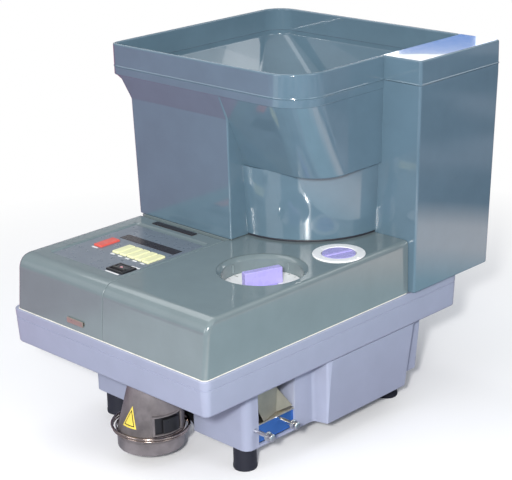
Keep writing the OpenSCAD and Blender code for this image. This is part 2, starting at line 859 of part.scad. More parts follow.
module diameter_bezel() {
    color([0.96, 0.96, 0.95]) in_frame() {
        tube(diam_x, diam_y, deck_top, deck_top + 1.2, bezel_r, 17.4);
        tube(diam_x, diam_y, 176, deck_top + 0.1, bezel_r - 1.6, 17.4);
    }
}

module diameter_knob() {
    color([0.68, 0.64, 0.88]) in_frame() translate([diam_x, diam_y, 0]) {
        rod(0, 0, 176, deck_top + 0.9, 17);
        rotate([0, 0, ridge_angle])
            box(-15, 15, -2.2, 2.2, deck_top, deck_top + 1.8);
        rod(0, 0, 163, 176.1, spindle_r);
        rod(2, 0, 161, 163.1, 6);
    }
}

// ---------------------------------------------------------------- electrics

module main_board() {
    color([0.10, 0.36, 0.22]) in_frame() {
        box(-112, -24, 38, 132, 99.5, 101.1);
        for (x = [-108, -28], y = [42, 128])
            rod(x, y, tray_bottom + tray_wall, 99.6, 3);
        box(-100, -78, 50, 72, 101, 105);
        box(-66, -40, 60, 74, 101, 104);
        for (i = [0:3])
            rod(-98 + i * 14, 112, 101, 115, 5);
        box(-108, -104, 84, 110, 101, 109);
    }
}

module power_supply() {
    color([0.55, 0.56, 0.58]) in_frame() {
        box(-112, -40, 190, 270, foot_h + 2, foot_h + 6);
        box(-106, -46, 200, 260, foot_h + 5.9, 76);
        box(-98, -54, 194, 266, foot_h + 12, 64);
    }
}

module power_inlet() {
    color([0.06, 0.06, 0.07]) in_frame() difference() {
        union() {
            box(-109.8, -60.2, tray_d - 30, tray_d, 98.2, 123.8);
            box(-113, -57, tray_d - 0.1, tray_d + 2, 96, 126);
        }
        box(-97, -73, tray_d - 20, tray_d + 3, 103, 119);
    }
}

module wiring_loom() {
    wire_r = 2.6;
    z = tray_bottom + tray_wall + 3.6;
    color([0.12, 0.12, 0.14]) in_frame() {
        translate([-60, 132.3, z])
            rotate([-90, 0, 0])
                cylinder(h = 65.2, r = wire_r);
        x_rod(-76, -58, 200, z, wire_r + 0.6);
        rod(-75, 203, 77, z + 1, wire_r);
    }
}

// ---------------------------------------------------------------- outlets

module spout_cone(t, z0, z1) {
    hull() {
        rod(spout_x + 6.4, spout_y + 6.4, z1 - 0.1, z1, 26 - t);
        rod(spout_x, spout_y, z0, z0 + 0.1, collar_r - t);
    }
}

module ring_sector(r0, r1, z0, z1, half) {
    translate([spout_x, spout_y, z0])
        rotate([0, 0, button_angle - half])
            rotate_extrude(angle = 2 * half)
                translate([r0, 0])
                    square([r1 - r0, z1 - z0]);
}

module spout() {
    color([0.30, 0.27, 0.27]) in_frame() difference() {
        union() {
            spout_cone(0, 30, tray_bottom);
            rod(spout_x, spout_y, 14.7, 30.1, collar_r);
        }
        spout_cone(2.5, 30, tray_bottom + 0.1);
        rod(spout_x, spout_y, 14, 30.2, collar_r - 2.5);
        ring_sector(24, 40, 37.2, 55.3, 30);
    }
}

module bag_ring() {
    z = 33.5;
    color([0.80, 0.68, 0.56]) in_frame() {
        translate([spout_x, spout_y, z])
            rotate_extrude()
                translate([ring_r, 0])
                    circle(r = 1.9, $fn = 32);
        tube(spout_x, spout_y, z - 2.4, z + 1.6, collar_r + 1.5, collar_r + 0.3);
        for (a = [60:120:300])
            translate([spout_x, spout_y, z - 1])
                rotate([0, 0, a])
                    box(collar_r + 1, ring_r - 0.5, -3, 3, 0, 1.6);
    }
}

module spout_button() {
    color([0.11, 0.12, 0.15]) in_frame()
        ring_sector(32, 37, 37.5, 55, 26.7);
}

module reject_chute() {
    color([0.70, 0.68, 0.60]) in_frame() {
        front_form(outlet_y0 + 3, outlet_y1 - 3, [[36, 139], [37.8, 139], [113, 56], [113, 54]]);
        for (y = [outlet_y0 + 2, outlet_y1 - 3.2])
            front_form(y, y + 1.2, [[36, 139], [62, 139], [62, 125], [110, 90], [113, 54]]);
    }
}

module reject_plate() {
    color([0.74, 0.74, 0.76]) in_frame() difference() {
        union() {
            box(88, 117.2, outlet_y0 + 0.3, outlet_y1 - 0.3, 47.5, 49);
            box(113.6, 114.9, 80.6, outlet_y1 + 1, foot_h + 3, 49);
        }
        for (y = stud_y)
            x_rod(110, 120, y, stud_z, 2.2);
    }
}

module reject_studs() {
    color([0.85, 0.85, 0.87]) in_frame() for (y = stud_y) {
        x_rod(112.5, 137, y, stud_z, 2.15);
        x_rod(110.8, 113.5, y, stud_z, 3.1);
        x_rod(136.9, 138.6, y, stud_z, 5.6);
        x_rod(138.5, 141.6, y, stud_z, 3.6);
    }
}

base_tray();
pedestal();
bottom_plate();
feet();
foot_screws();
tray_screws();
rear_cover();
deck_cover();
control_cover();
hinge_brackets();
hinge_pins();
cover_latch();
control_panel();
display_window();
display_board();
pale_key(0);  // key_1
pale_key(1);  // key_2
pale_key(2);  // key_3
pale_key(3);  // key_4
pale_key(4);  // key_5
red_key();
rocker_frame();
rocker_paddle();
hopper_body();
hopper_rim();
hopper_screws();
chassis_plate();
chassis_posts();
well_ring();
disc_bearing();
feed_disc();
disc_shaft();
disc_pulley();
motor_pulley();
drive_belt();
drive_motor();
motor_bracket();
coin_track();
feed_frame();
feed_pulley(belt_y0);  // feed_pulley_front
feed_pulley(belt_y1);  // feed_pulley_rear
feed_belt();
width_rail();
thickness_gate();
coin_sensor();
drop_tube();
thickness_scale();
thickness_knob();
diameter_bezel();
diameter_knob();
main_board();
power_supply();
power_inlet();
wiring_loom();
spout();
spout_button();
bag_ring();
reject_chute();
reject_plate();
reject_studs();
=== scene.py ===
"""Looks of a desktop coin sorting machine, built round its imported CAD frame.

Shapes are given in millimetres in the machine's bench frame: x across from the middle of the
deck, y back from the tray's front edge, z up from the table. The CAD nodes' boxes say where that is.
"""

import json
import math

import bmesh
import bpy
from mathutils import Matrix, Vector


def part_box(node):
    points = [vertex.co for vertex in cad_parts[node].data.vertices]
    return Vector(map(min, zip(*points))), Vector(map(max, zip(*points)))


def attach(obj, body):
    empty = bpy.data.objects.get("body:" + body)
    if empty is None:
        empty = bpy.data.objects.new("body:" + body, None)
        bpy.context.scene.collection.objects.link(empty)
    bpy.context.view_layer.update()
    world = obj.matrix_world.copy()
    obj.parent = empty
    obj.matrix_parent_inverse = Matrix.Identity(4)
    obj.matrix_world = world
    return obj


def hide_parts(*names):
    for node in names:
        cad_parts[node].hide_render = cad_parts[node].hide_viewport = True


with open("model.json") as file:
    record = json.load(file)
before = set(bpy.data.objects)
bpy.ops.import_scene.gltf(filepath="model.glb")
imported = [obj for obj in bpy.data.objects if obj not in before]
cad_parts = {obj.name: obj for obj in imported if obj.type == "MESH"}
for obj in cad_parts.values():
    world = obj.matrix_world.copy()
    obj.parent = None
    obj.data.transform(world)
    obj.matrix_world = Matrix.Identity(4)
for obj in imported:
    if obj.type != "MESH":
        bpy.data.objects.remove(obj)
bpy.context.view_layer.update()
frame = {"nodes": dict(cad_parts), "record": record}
nodes = frame["nodes"]
bodies = frame["record"]["behaviour"]["bodies"]
NODE_BODY = {node: body for body, members in bodies.items() for node in members}
NODE_SLOT = {part["node"]: part["material_slot"] for part in frame["record"]["subparts"]}

MM = 0.001
DECK_LO, DECK_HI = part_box("deck_cover")
MID_X = (DECK_LO.x + DECK_HI.x) / 2
FRONT_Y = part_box("base_tray")[0].y


def place(point):
    """A bench point in millimetres as a point of the frame in metres."""
    return Vector((MID_X + point[0] * MM, FRONT_Y + point[1] * MM, point[2] * MM))


class Extent:
    """The box of a CAD node in bench millimetres."""

    def __init__(self, node):
        lo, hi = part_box(node)
        self.x0, self.x1 = (lo.x - MID_X) / MM, (hi.x - MID_X) / MM
        self.y0, self.y1 = (lo.y - FRONT_Y) / MM, (hi.y - FRONT_Y) / MM
        self.z0, self.z1 = lo.z / MM, hi.z / MM
        self.cx, self.cy = self.mid = (self.x0 + self.x1) / 2, (self.y0 + self.y1) / 2
        self.cz = (self.z0 + self.z1) / 2
        self.r = (self.x1 - self.x0) / 2

    def plan(self, side, front, corner):
        """The node's outline pulled in by these margins, as a function of a further inset."""
        return plate(self.x0 + side, self.x1 - side, self.y0 + front, self.y1 - front, corner)


# ---- mesh tools


def polar(x, y, r, a):
    return x + r * math.cos(a), y + r * math.sin(a)


def arc(x, y, r, start, end, steps):
    angles = [math.radians(start + (end - start) * i / steps) for i in range(steps + 1)]
    return [polar(x, y, r, a) for a in angles]


def round_rect(x0, x1, y0, y1, radii, steps=6):
    """Rounded rectangle; radii run front left, front right, back right, back left."""
    fl, fr, br, bl = [max(r, 0.05) for r in radii]
    return (
        arc(x0 + fl, y0 + fl, fl, 180, 270, steps)
        + arc(x1 - fr, y0 + fr, fr, 270, 360, steps)
        + arc(x1 - br, y1 - br, br, 0, 90, steps)
        + arc(x0 + bl, y1 - bl, bl, 90, 180, steps)
    )


def ring_at(points, z):
    return [(x, y, z) for x, y in points]


def rings_at(outline, steps):
    """Rings of an outline at these (inset, height) steps."""
    return [ring_at(outline(t), z) for t, z in steps]


def turned(middle, angle, points):
    """Flat points turned by this angle and moved to a new middle."""
    x, y = middle
    c, s = math.cos(angle), math.sin(angle)
    return [(x + a * c - b * s, y + a * s + b * c) for a, b in points]


def new_object(name, bm):
    data = bpy.data.meshes.new(name)
    bm.to_mesh(data)
    bm.free()
    obj = bpy.data.objects.new(name, data)
    bpy.context.scene.collection.objects.link(obj)
    return obj


def to_object(name, bm):
    """Cleans a mesh and makes an object of it."""
    bmesh.ops.remove_doubles(bm, verts=bm.verts, dist=1e-6)
    bmesh.ops.dissolve_degenerate(bm, dist=1e-6, edges=bm.edges)
    bmesh.ops.recalc_face_normals(bm, faces=bm.faces)
    return new_object(name, bm)


def flat_face(name, corners):
    bm = bmesh.new()
    bm.faces.new([bm.verts.new(c) for c in corners])
    return to_object(name, bm)


def add_rings(bm, rings, loop=False):
    rows = [[bm.verts.new(place(p)) for p in ring] for ring in rings]
    pairs = list(zip(rows, rows[1:]))
    if loop:
        pairs.append((rows[-1], rows[0]))
    for low, high in pairs:
        for i in range(len(low)):
            j = (i + 1) % len(low)
            bm.faces.new((low[i], low[j], high[j], high[i]))
    if not loop:
        bm.faces.new(rows[0][::-1])
        bm.faces.new(rows[-1])


def loft(name, rings, loop=False):
    """Closed body through rings of equal length; a loop joins the last ring to the first."""
    bm = bmesh.new()
    add_rings(bm, rings, loop)
    return to_object(name, bm)


def edge_steps(r, steps=4):
    """(inset, drop) pairs of a quarter-round edge, from the side wall to the flat face."""
    if not r:
        return [(0, 0)]
    angles = [math.pi / 2 * i / steps for i in range(steps + 1)]
    return [(r * (1 - math.cos(a)), r * (1 - math.sin(a))) for a in angles]


def stack(outline, z0, z1, r_bottom=0.0, r_top=0.0):
    """Rings of an upright body with rounded lower and upper edges; outline(t) is its plan, pulled in by t."""
    low = [(t, z0 + d) for t, d in reversed(edge_steps(r_bottom))]
    return rings_at(outline, low + [(t, z1 - d) for t, d in edge_steps(r_top)])


def plate(x0, x1, y0, y1, corner, steps=6):
    return lambda t: round_rect(x0 + t, x1 - t, y0 + t, y1 - t, [corner - t] * 4, steps)


def circle(x, y, r, count):
    return [polar(x, y, r, math.tau * i / count) for i in range(count)]


def lathe(name, at, profile, loop=False, count=96):
    """Body turned round an upright axis at this (x, y); the profile lists (radius, height)."""
    return loft(name, [ring_at(circle(*at, r, count), z) for r, z in profile], loop)


def rod(name, at, r, z0, z1, count=96):
    """Upright cylinder."""
    return lathe(name, at, [(r, z0), (r, z1)], count=count)


def lathe_x(name, y, z, profile, count=48, knurl=0.0):
    """Body turned round an axis along x; the profile lists (radius, x)."""
    rings = []
    for r, x in profile:
        rough = [r * (1 - knurl * (i % 2)) for i in range(count)]
        rings.append([(x, *polar(y, z, a, math.tau * i / count)) for i, a in enumerate(rough)])
    return loft(name, rings)


def settle(obj):
    """Applies the modifiers, so that the mesh is what they made."""
    depsgraph = bpy.context.evaluated_depsgraph_get()
    made = bpy.data.meshes.new_from_object(obj.evaluated_get(depsgraph))
    obj.modifiers.clear()
    old = obj.data
    obj.data = made
    bpy.data.meshes.remove(old)


def carve(obj, *tools, how="DIFFERENCE"):
    for tool in tools:
        cut = obj.modifiers.new("cut", "BOOLEAN")
        cut.operation = how
        cut.solver = "EXACT"
        cut.object = tool
    settle(obj)
    for tool in tools:
        bpy.data.objects.remove(tool)
    return obj


def merge(obj, *others):
    return carve(obj, *others, how="UNION")


def joined(name, *parts):
    """One object from several separate bodies."""
    bm = bmesh.new()
    for part in parts:
        bm.from_mesh(part.data)
        bpy.data.objects.remove(part)
    return new_object(name, bm)


def boxes(name, spans):
    """Plain boxes (x0, x1, y0, y1, z0, z1) in one object, for cutting."""
    bm = bmesh.new()
    for x0, x1, y0, y1, z0, z1 in spans:
        outline = [(x0, y0), (x1, y0), (x1, y1), (x0, y1)]
        add_rings(bm, [ring_at(outline, z0), ring_at(outline, z1)])
    return to_object(name, bm)


def even_normals(obj):
    even = obj.modifiers.new("even", "WEIGHTED_NORMAL")
    even.keep_sharp = True


def round_edges(obj, width, segments, limit):
    edge = obj.modifiers.new("edge", "BEVEL")
    edge.width = width * MM
    edge.segments = segments
    edge.limit_method = "ANGLE"
    edge.angle_limit = math.radians(limit)


def shade(obj):
    """Smooth faces with crisp creases, and flat faces that stay flat beside round edges."""
    bm = bmesh.new()
    bm.from_mesh(obj.data)
    crease = math.radians(30)
    for face in bm.faces:
        face.smooth = True
    for edge in bm.edges:
        edge.smooth = len(edge.link_faces) == 2 and edge.calc_face_angle(math.pi) < crease
    bm.to_mesh(obj.data)
    bm.free()
    even_normals(obj)


def bevel(obj, width):
    round_edges(obj, width, 2, 35.0)
    settle(obj)
    return obj


def finish_piece(obj, material, body):
    """Gives a piece its shading, material and body."""
    shade(obj)
    obj.data.materials.clear()
    obj.data.materials.append(material)
    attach(obj, body)


def stand_in(obj, node, material=None):
    """Finishes a piece that replaces a CAD node, on the node's body and with the material of the node's slot.
    """
    slot = NODE_SLOT[node]
    finish_piece(obj, material or SLOT_MATERIAL[slot], NODE_BODY[node])
    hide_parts(node)


# ---- materials


class Graph:
    """A small helper that adds nodes to a material or a world and links them."""

    def __init__(self, owner, shader="Principled BSDF"):
        owner.use_nodes = True
        self.owner, self.tree = owner, owner.node_tree
        self.shader = self.tree.nodes[shader]
        self.where = self.add("TexCoord").outputs["Object"]

    def add(self, kind, **inputs):
        node = self.tree.nodes.new("ShaderNode" + kind)
        for key, value in inputs.items():
            self.put(node.inputs[key], value)
        return node

    def put(self, socket, value):
        if isinstance(value, bpy.types.NodeSocket):
            self.tree.links.new(value, socket)
        else:
            socket.default_value = value

    def noise(self, scale, detail=4.0, roughness=0.55):
        """Noise with its scale in waves per metre."""
        node = self.add("TexNoise", Vector=self.where, Scale=scale, Detail=detail)
        self.put(node.inputs["Roughness"], roughness)
        return node.outputs["Fac"]

    def remap(self, value, low, high, to_low, to_high):
        node = self.add("MapRange")
        keys = ("Value", "From Min", "From Max", "To Min", "To Max")
        for key, part in zip(keys, (value, low, high, to_low, to_high)):
            self.put(node.inputs[key], part)
        return node.outputs["Result"]

    def ramp(self, value, start, end):
        """0 to 1 as the value goes from start to end."""
        return self.remap(value, start, end, 0.0, 1.0)

    def product(self, first, second):
        node = self.add("Math")
        node.operation = "MULTIPLY"
        self.put(node.inputs[0], first)
        self.put(node.inputs[1], second)
        return node.outputs["Value"]

    def choose(self, factor, first, second):
        """Mix of the outputs of two shader nodes."""
        node = self.add("MixShader", Fac=factor)
        self.put(node.inputs[1], first.outputs[0])
        self.put(node.inputs[2], second.outputs[0])
        return node

    def show(self, node, output):
        self.tree.links.new(node.outputs[0], self.tree.nodes[output].inputs["Surface"])

    def mix(self, factor, first, second):
        node = self.add("Mix")
        node.data_type = "RGBA"
        self.put(node.inputs["Factor"], factor)
        self.put(node.inputs["A"], first)
        self.put(node.inputs["B"], second)
        return node.outputs["Result"]

    def set(self, **values):
        for key, value in values.items():
            self.put(self.shader.inputs[key.replace("_", " ")], value)


def rgba(color, gain=1.0):
    return (*(c * gain for c in color), 1.0)


def surface(
    name, color, rough, metallic=0.0, coat=0.0, coat_rough=0.1, grain=900.0, bump=0.05, depth=0.1,
    mottle=0.06, wear_and_sheen=0.25, soft_edge=0.0, specular=0.5,
):
    """Moulded or metal surface: mottled colour, uneven gloss, fine grain, and lighter edges: a painted
    highlight along rounded edges, together with edge wear.

    Grain is in waves per metre; depth and soft_edge are in millimetres; mottle and wear_and_sheen are shares.
    """
    graph = Graph(bpy.data.materials.new(name))
    clouds = graph.ramp(graph.noise(35.0, 5.0), 0.3, 0.7)
    tone = graph.mix(clouds, rgba(color, 1 - mottle), rgba(color, 1 + mottle))
    # Painted highlight: edges lighten by pointiness, standing in for light caught on rounded edges as well as
    # for wear.
    point = graph.add("NewGeometry").outputs["Pointiness"]
    edge = graph.remap(point, 0.54, 0.62, 0.0, wear_and_sheen)
    worn_and_lit = [min(1.0, c * 1.35 + 0.05) for c in color]
    graph.set(Base_Color=graph.mix(edge, tone, rgba(worn_and_lit)), Metallic=metallic, Coat_Weight=coat)
    graph.set(Coat_Roughness=coat_rough, Specular_IOR_Level=specular)
    smears = graph.noise(120.0, 6.0, 0.65)
    graph.set(Roughness=graph.remap(smears, 0.3, 0.75, rough * 0.8, rough * 1.25))
    height = graph.noise(grain, 3.0, 0.7)
    fine = graph.add("Bump", Strength=bump, Distance=depth * MM, Height=height)
    if soft_edge:
        rounded = graph.add("Bevel", Radius=soft_edge * MM)
        graph.put(fine.inputs["Normal"], rounded.outputs["Normal"])
    graph.set(Normal=fine.outputs["Normal"])
    return graph.owner


def brushed(name, color, rough, across=(1.0, 1.0, 1.0), soft_edge=0.3):
    """Sheet or turned metal with fine scratches along one direction."""
    graph = Graph(bpy.data.materials.new(name))
    scaled = graph.add("Mapping", Vector=graph.where, Scale=across).outputs["Vector"]
    scratches = graph.add("TexNoise", Vector=scaled, Scale=900.0, Detail=4.0)
    lines = scratches.outputs["Fac"]
    clouds = graph.ramp(graph.noise(60.0, 5.0), 0.3, 0.7)
    graph.set(Base_Color=graph.mix(clouds, rgba(color, 0.88), rgba(color, 1.06)), Metallic=1.0)
    graph.set(Roughness=graph.remap(lines, 0.3, 0.7, rough * 0.7, rough * 1.4))
    rounded = graph.add("Bevel", Radius=soft_edge * MM)
    cut = graph.add("Bump", Strength=0.12, Distance=0.05 * MM, Height=lines)
    graph.put(cut.inputs["Normal"], rounded.outputs["Normal"])
    graph.set(Normal=cut.outputs["Normal"])
    return graph.owner


TRAY = surface("tray_satin", (0.325, 0.355, 0.465), 0.36, grain=1600.0, bump=0.08, coat=0.15, mottle=0.03)
DECK = surface("deck_gloss", (0.16, 0.205, 0.215), 0.15, coat=0.6, coat_rough=0.035,
               grain=700.0, bump=0.02, mottle=0.04)
HOPPER = surface("hopper_gloss", (0.105, 0.172, 0.222), 0.09, coat=0.8, coat_rough=0.02,
                 grain=400.0, bump=0.01, mottle=0.04)
SPOUT = surface("spout_grain", (0.16, 0.145, 0.15), 0.42, grain=1300.0, bump=0.5, depth=0.25, mottle=0.45)
BLACK = surface("black_plastic", (0.010, 0.010, 0.012), 0.34, grain=1500.0, bump=0.15, soft_edge=0.3)
RUBBER = surface("foot_rubber", (0.010, 0.011, 0.020), 0.55, grain=1100.0, bump=0.35, depth=0.2,
                 soft_edge=0.3)
SMOOTH = {"grain": 80.0, "bump": 0.02, "mottle": 0.01, "wear_and_sheen": 0.0}
WHITE = surface("white_gloss", (0.93, 0.93, 0.93), 0.25, coat=0.3, **SMOOTH)
LAVENDER = surface("lavender_gloss", (0.42, 0.38, 0.76), 0.28, coat=0.3, **SMOOTH)
YELLOW = surface("key_yellow", (0.80, 0.80, 0.48), 0.4, bump=0.06, wear_and_sheen=0.0, mottle=0.03)
CREAM = surface("seal_cream", (0.82, 0.80, 0.72), 0.4, bump=0.06, wear_and_sheen=0.0, mottle=0.03)
RED = surface("key_red", (0.70, 0.11, 0.085), 0.38, bump=0.06, wear_and_sheen=0.0)
FILM = surface("panel_film", (0.145, 0.175, 0.215), 0.30, coat=0.2, **SMOOTH)
GLASS = surface("window_tint", (0.016, 0.007, 0.009), 0.25, coat=0.15, bump=0.01, wear_and_sheen=0.0, specular=0.3)
BLUE = surface("plate_film", (0.05, 0.20, 0.62), 0.12, metallic=0.6, coat=0.6, coat_rough=0.03, bump=0.02)
PINK = surface("dot_pink", (0.75, 0.35, 0.38), 0.35, bump=0.02)
BOARD = surface("board_green", (0.020, 0.12, 0.05), 0.4, grain=2500.0, bump=0.1, soft_edge=0.3)
PAINT = surface("painted_grey", (0.075, 0.080, 0.090), 0.42, bump=0.1, soft_edge=0.5)
BELT = surface("belt_rubber", (0.17, 0.03, 0.02), 0.6, bump=0.3, soft_edge=0.2)
LATCH = surface("latch_metal", (0.55, 0.47, 0.40), 0.32, metallic=0.8, bump=0.1, soft_edge=0.3, wear_and_sheen=0.7)
STICKER = surface("sticker_yellow", (0.85, 0.68, 0.10), 0.35, coat=0.3, bump=0.04, wear_and_sheen=0.1)
STEEL = brushed("sheet_steel", (0.52, 0.53, 0.55), 0.32, (1.0, 12.0, 1.0))
BRIGHT = brushed("plated_steel", (0.80, 0.80, 0.82), 0.12, (1.0, 1.0, 6.0), 0.2)
CAST = brushed("cast_metal", (0.55, 0.55, 0.56), 0.36, (8.0, 8.0, 1.0))
CHUTE = brushed("chute_metal", (0.50, 0.47, 0.38), 0.45, (1.0, 9.0, 1.0))
SHELF = brushed("shelf_metal", (0.90, 0.84, 0.72), 0.3, (1.0, 9.0, 1.0))
COPPER = brushed("copper_wire", (0.50, 0.41, 0.36), 0.14, (1.0, 1.0, 4.0), 0.2)

SLOT_MATERIAL = {
    "tray_plastic": TRAY, "deck_plastic": DECK, "hopper_plastic": HOPPER, "sheet_steel": STEEL,
    "plated_steel": BRIGHT, "cast_metal": CAST, "rubber_black": RUBBER, "black_plastic": BLACK,
    "white_plastic": WHITE, "lavender_plastic": LAVENDER, "key_yellow": YELLOW, "key_red": RED,
    "panel_film": FILM, "window_dark": GLASS, "board_green": BOARD, "spout_plastic": SPOUT,
    "copper_wire": COPPER, "chute_metal": CHUTE, "belt_rubber": BELT, "machine_grey": PAINT,
    "latch_metal": LATCH,
}

# ---- base tray

tray = Extent("base_tray")
spout_box = Extent("spout")
collar = Extent("drop_tube")
TRAY_DRAFT = 2.2
TRAY_WALL = 5.2
GROOVE_DROP = 10.0
OUTLET_OPENING = (33, 112, 89, 139.5)


def tray_plan(t):
    return round_rect(tray.x0 + t, tray.x1 - t, tray.y0 + t, tray.y1 - t, [max(9 - t, 4)] * 4, 8)


def tray_outer(z):
    return TRAY_DRAFT * (tray.z1 - z) / (tray.z1 - tray.z0)


def make_tray():
    """Drafted tray with a groove round its side, and openings for the outlet, the drop tube and the motor."""
    groove_z = tray.z1 - GROOVE_DROP
    levels = [(tray.z0 + d, t) for t, d in reversed(edge_steps(2.5))]
    levels += [(groove_z - 0.5, 0), (groove_z - 0.2, 0.7), (groove_z + 0.9, 0.7), (groove_z + 1.2, 0)]
    steps = [(tray_outer(z) + t, z) for z, t in levels]
    steps += [(t, tray.z1 - d) for t, d in edge_steps(1.3)]
    steps += [(TRAY_WALL - t, tray.z1 - d) for t, d in reversed(edge_steps(0.6))]
    steps += [(TRAY_WALL + t, tray.z0 + z) for t, z in ((1, 4.5), (2.5, 3))]
    shell = loft("tray_shell", rings_at(tray_plan, steps))
    outlet = boxes("outlet", [(*OUTLET_OPENING, tray.z0 - 1, tray.z1)])
    motor = Extent("drive_motor")
    holes = [rod("hole", box.mid, r, tray.z0 - 1, tray.z0 + 20) for box, r in ((collar, 22), (motor, 31))]
    carve(shell, outlet, *holes)
    stand_in(shell, "base_tray")


make_tray()

# ---- deck and control cover

deck = Extent("deck_cover")
cover = Extent("control_cover")
DECK_LEAN = 4.0
FRONT_R = 16.0
RIDGE_R = 5.0
SEAM_R = 0.7
WALL = 2.5
BACK_R = 0.6
SEAM_GAP = 0.5
OPEN_FROM_Y, OPEN_TO_Z = 10.0, 172.0


def shoulder(r, drop):
    """How far a quarter-round edge of radius r pulls in at this drop below the top."""
    if drop >= r:
        return 0.0
    return r - math.sqrt(max(0.0, r * r - (r - drop) ** 2))


def deck_rings(x0, x1, y0, y1, z0, top, t, left_r, right_r, back_r):
    """Rings of one deck moulding, pulled in by t: leaning front, big front edge, ridges at the sides."""
    front_r = FRONT_R - t
    knee = top - t - front_r
    foot = cover.z0
    heights = [z0, knee] + [knee + front_r * math.sin(math.radians(a)) for a in range(5, 91, 5)]
    radii = [max(r - t, 0.3) for r in (left_r, right_r)]
    rings = []
    for z in heights:
        drop = top - t - z
        lean = DECK_LEAN * min(1.0, (z - foot) / (knee - foot))
        plan = round_rect(
            x0 + t + shoulder(radii[0], drop),
            x1 - t - shoulder(radii[1], drop),
            y0 + t + lean + shoulder(front_r, drop),
            y1 - t - shoulder(max(back_r - t, 0.3), drop),
            [radii[0], radii[1], 0.5, 0.5],
        )
        rings.append(ring_at(plan, z))
    return rings


scale = Extent("thickness_scale")
bezel = Extent("diameter_bezel")
disc = Extent("feed_disc")
WELL_R = 45.0
CUP_R = WELL_R - 4.5
DIAL_DROP = 1.8
DISC_WELL_R = 87.0
RIB_TURNS = (95, 180)


def well_profile(r_cup, r_rim, floor, top):
    """Profile of the dial well, from its floor up through the bevel ring to above the deck."""
    edge = 0.8
    lip = [(r_rim + (edge - t), top - d) for t, d in edge_steps(edge)[1:]]
    bowl = [(r_cup, floor), (r_cup, top - 4.2), (r_cup + 0.5, top - 3.4), (r_rim - 0.6, top - 0.9)]
    return bowl + lip + [(r_rim + edge, top + 2)]


def deck_hollow(seam):
    """Cutters for the space under the deck: below its top, and behind the control cover."""
    below = deck.z0 - 2
    under = deck_rings(seam, deck.x1, deck.y0, deck.y1 + 6, below, deck.z1, WALL, SEAM_R, RIDGE_R, BACK_R)
    behind = (deck.x0 + WALL, seam + 4, cover.y1 + 4, deck.y1 + 1, below, deck.z1 - WALL)
    return loft("hollow", under), boxes("behind", [behind])


def well_ribs():
    """Two slim ribs on the wall of the dial well."""
    ribs = []
    for turn in RIB_TURNS:
        spot = polar(*scale.mid, CUP_R, math.radians(turn))
        ribs.append(lathe("rib", spot, [(1.1, 173.5), (1.1, 180.4), (0.6, 181.2)], count=24))
    return ribs


def make_deck():
    """Fixed deck: the right-hand moulding, a strip behind the control cover, the dial well and openings."""
    seam = cover.x1 + SEAM_GAP
    top = deck.z1
    shell = loft("deck_shell", deck_rings(
        seam, deck.x1, deck.y0, deck.y1, deck.z0, top, 0, SEAM_R, RIDGE_R, BACK_R))
    rear = plate(deck.x0, seam + 3, cover.y1 + 1.5, deck.y1, BACK_R)
    merge(shell, loft("rear", stack(rear, deck.z0, top - 0.02, 0, BACK_R)))
    carve(shell, *deck_hollow(seam))
    ribs = well_ribs()
    floor = scale.z0 - DIAL_DROP
    cup = rod("cup", scale.mid, CUP_R + 2, floor - 2.2, top - 1)
    pocket = rod("pocket", bezel.mid, bezel.r + 1, OPEN_TO_Z, top - 1)
    merge(shell, cup, pocket)
    below = deck.z0 - 2
    side = boxes("side", [(seam - 1, seam + 4, OPEN_FROM_Y, cover.y1 + 4, below, OPEN_TO_Z)])
    passage = boxes("passage", [(deck.x0 + WALL, seam + 3, cover.y1, cover.y1 + 5, below, 158)])
    well = rod("well", disc.mid, DISC_WELL_R, deck.z0 - 3, top + 3)
    bowl = lathe("bowl", scale.mid, well_profile(CUP_R, WELL_R, floor, top))
    dial = rod("dial", bezel.mid, bezel.r - 1.5, 175, top + 1)
    carve(shell, side, passage, well, bowl, dial)
    merge(shell, *ribs)
    stand_in(shell, "deck_cover")


panel = Extent("control_panel")
window = Extent("display_window")
rocker = Extent("rocker_frame")
red = Extent("red_key")
KEYS = [f"key_{n}" for n in range(1, 6)]
LATCH_SLOT = (-51, -31, 0, 9, 138, 141.6)


def key_holes(z0, z1):
    """Openings for the keys, the window and the rocker switch."""
    spans = []
    for name in KEYS + ["red_key"]:
        key = Extent(name)
        spans.append((key.x0 + 0.3, key.x1 - 0.3, key.y0 + 0.7, key.y1 - 0.7, z0, z1))
    spans.append((window.x0, window.x1, window.y0, window.y1, z0, z1))
    spans.append((rocker.x0 + 1.4, rocker.x1 - 1.4, rocker.y0 + 1.2, rocker.y1 - 1.2, z0, z1))
    return boxes("holes", spans)


def panel_plan(side, front, back, corner):
    """Outline of the panel, pulled in by these margins."""
    return round_rect(panel.x0 + side, panel.x1 - side, panel.y0 + front, panel.y1 - back, [corner] * 4)


def make_cover():
    """Hinged cover with a sloping-sided recess for the control panel."""
    top = deck.z1
    below = cover.z0 - 2
    x0, x1, y0, y1 = cover.x0, cover.x1, cover.y0, cover.y1
    shell = loft("cover_shell", deck_rings(x0, x1, y0, y1, cover.z0, top, 0, RIDGE_R, SEAM_R, 6.0))
    inner = loft("inner", deck_rings(x0, x1, y0, y1, below, top - 1, WALL, RIDGE_R, SEAM_R, 6.0))
    open_side = boxes("open_side", [(x1 - 4, x1 + 1, OPEN_FROM_Y, y1 + 2, below, OPEN_TO_Z)])
    open_back = boxes("open_back", [(x0 + WALL, x1 - WALL, 171, y1 + 2, below, 182.5)])
    floor = panel_plan(1.8, 1.2, 4.6, 3)
    mouth = panel_plan(-0.4, -0.4, -0.4, 4)
    over = panel_plan(-1.6, -1.6, -1.6, 5)
    recess = loft("recess", [ring_at(floor, panel.z0), ring_at(mouth, top - 0.15), ring_at(over, top + 0.9)])
    slot = boxes("slot", [LATCH_SLOT])
    carve(shell, inner, open_side, open_back, recess, slot, key_holes(178, top + 1))
    stand_in(shell, "control_cover")


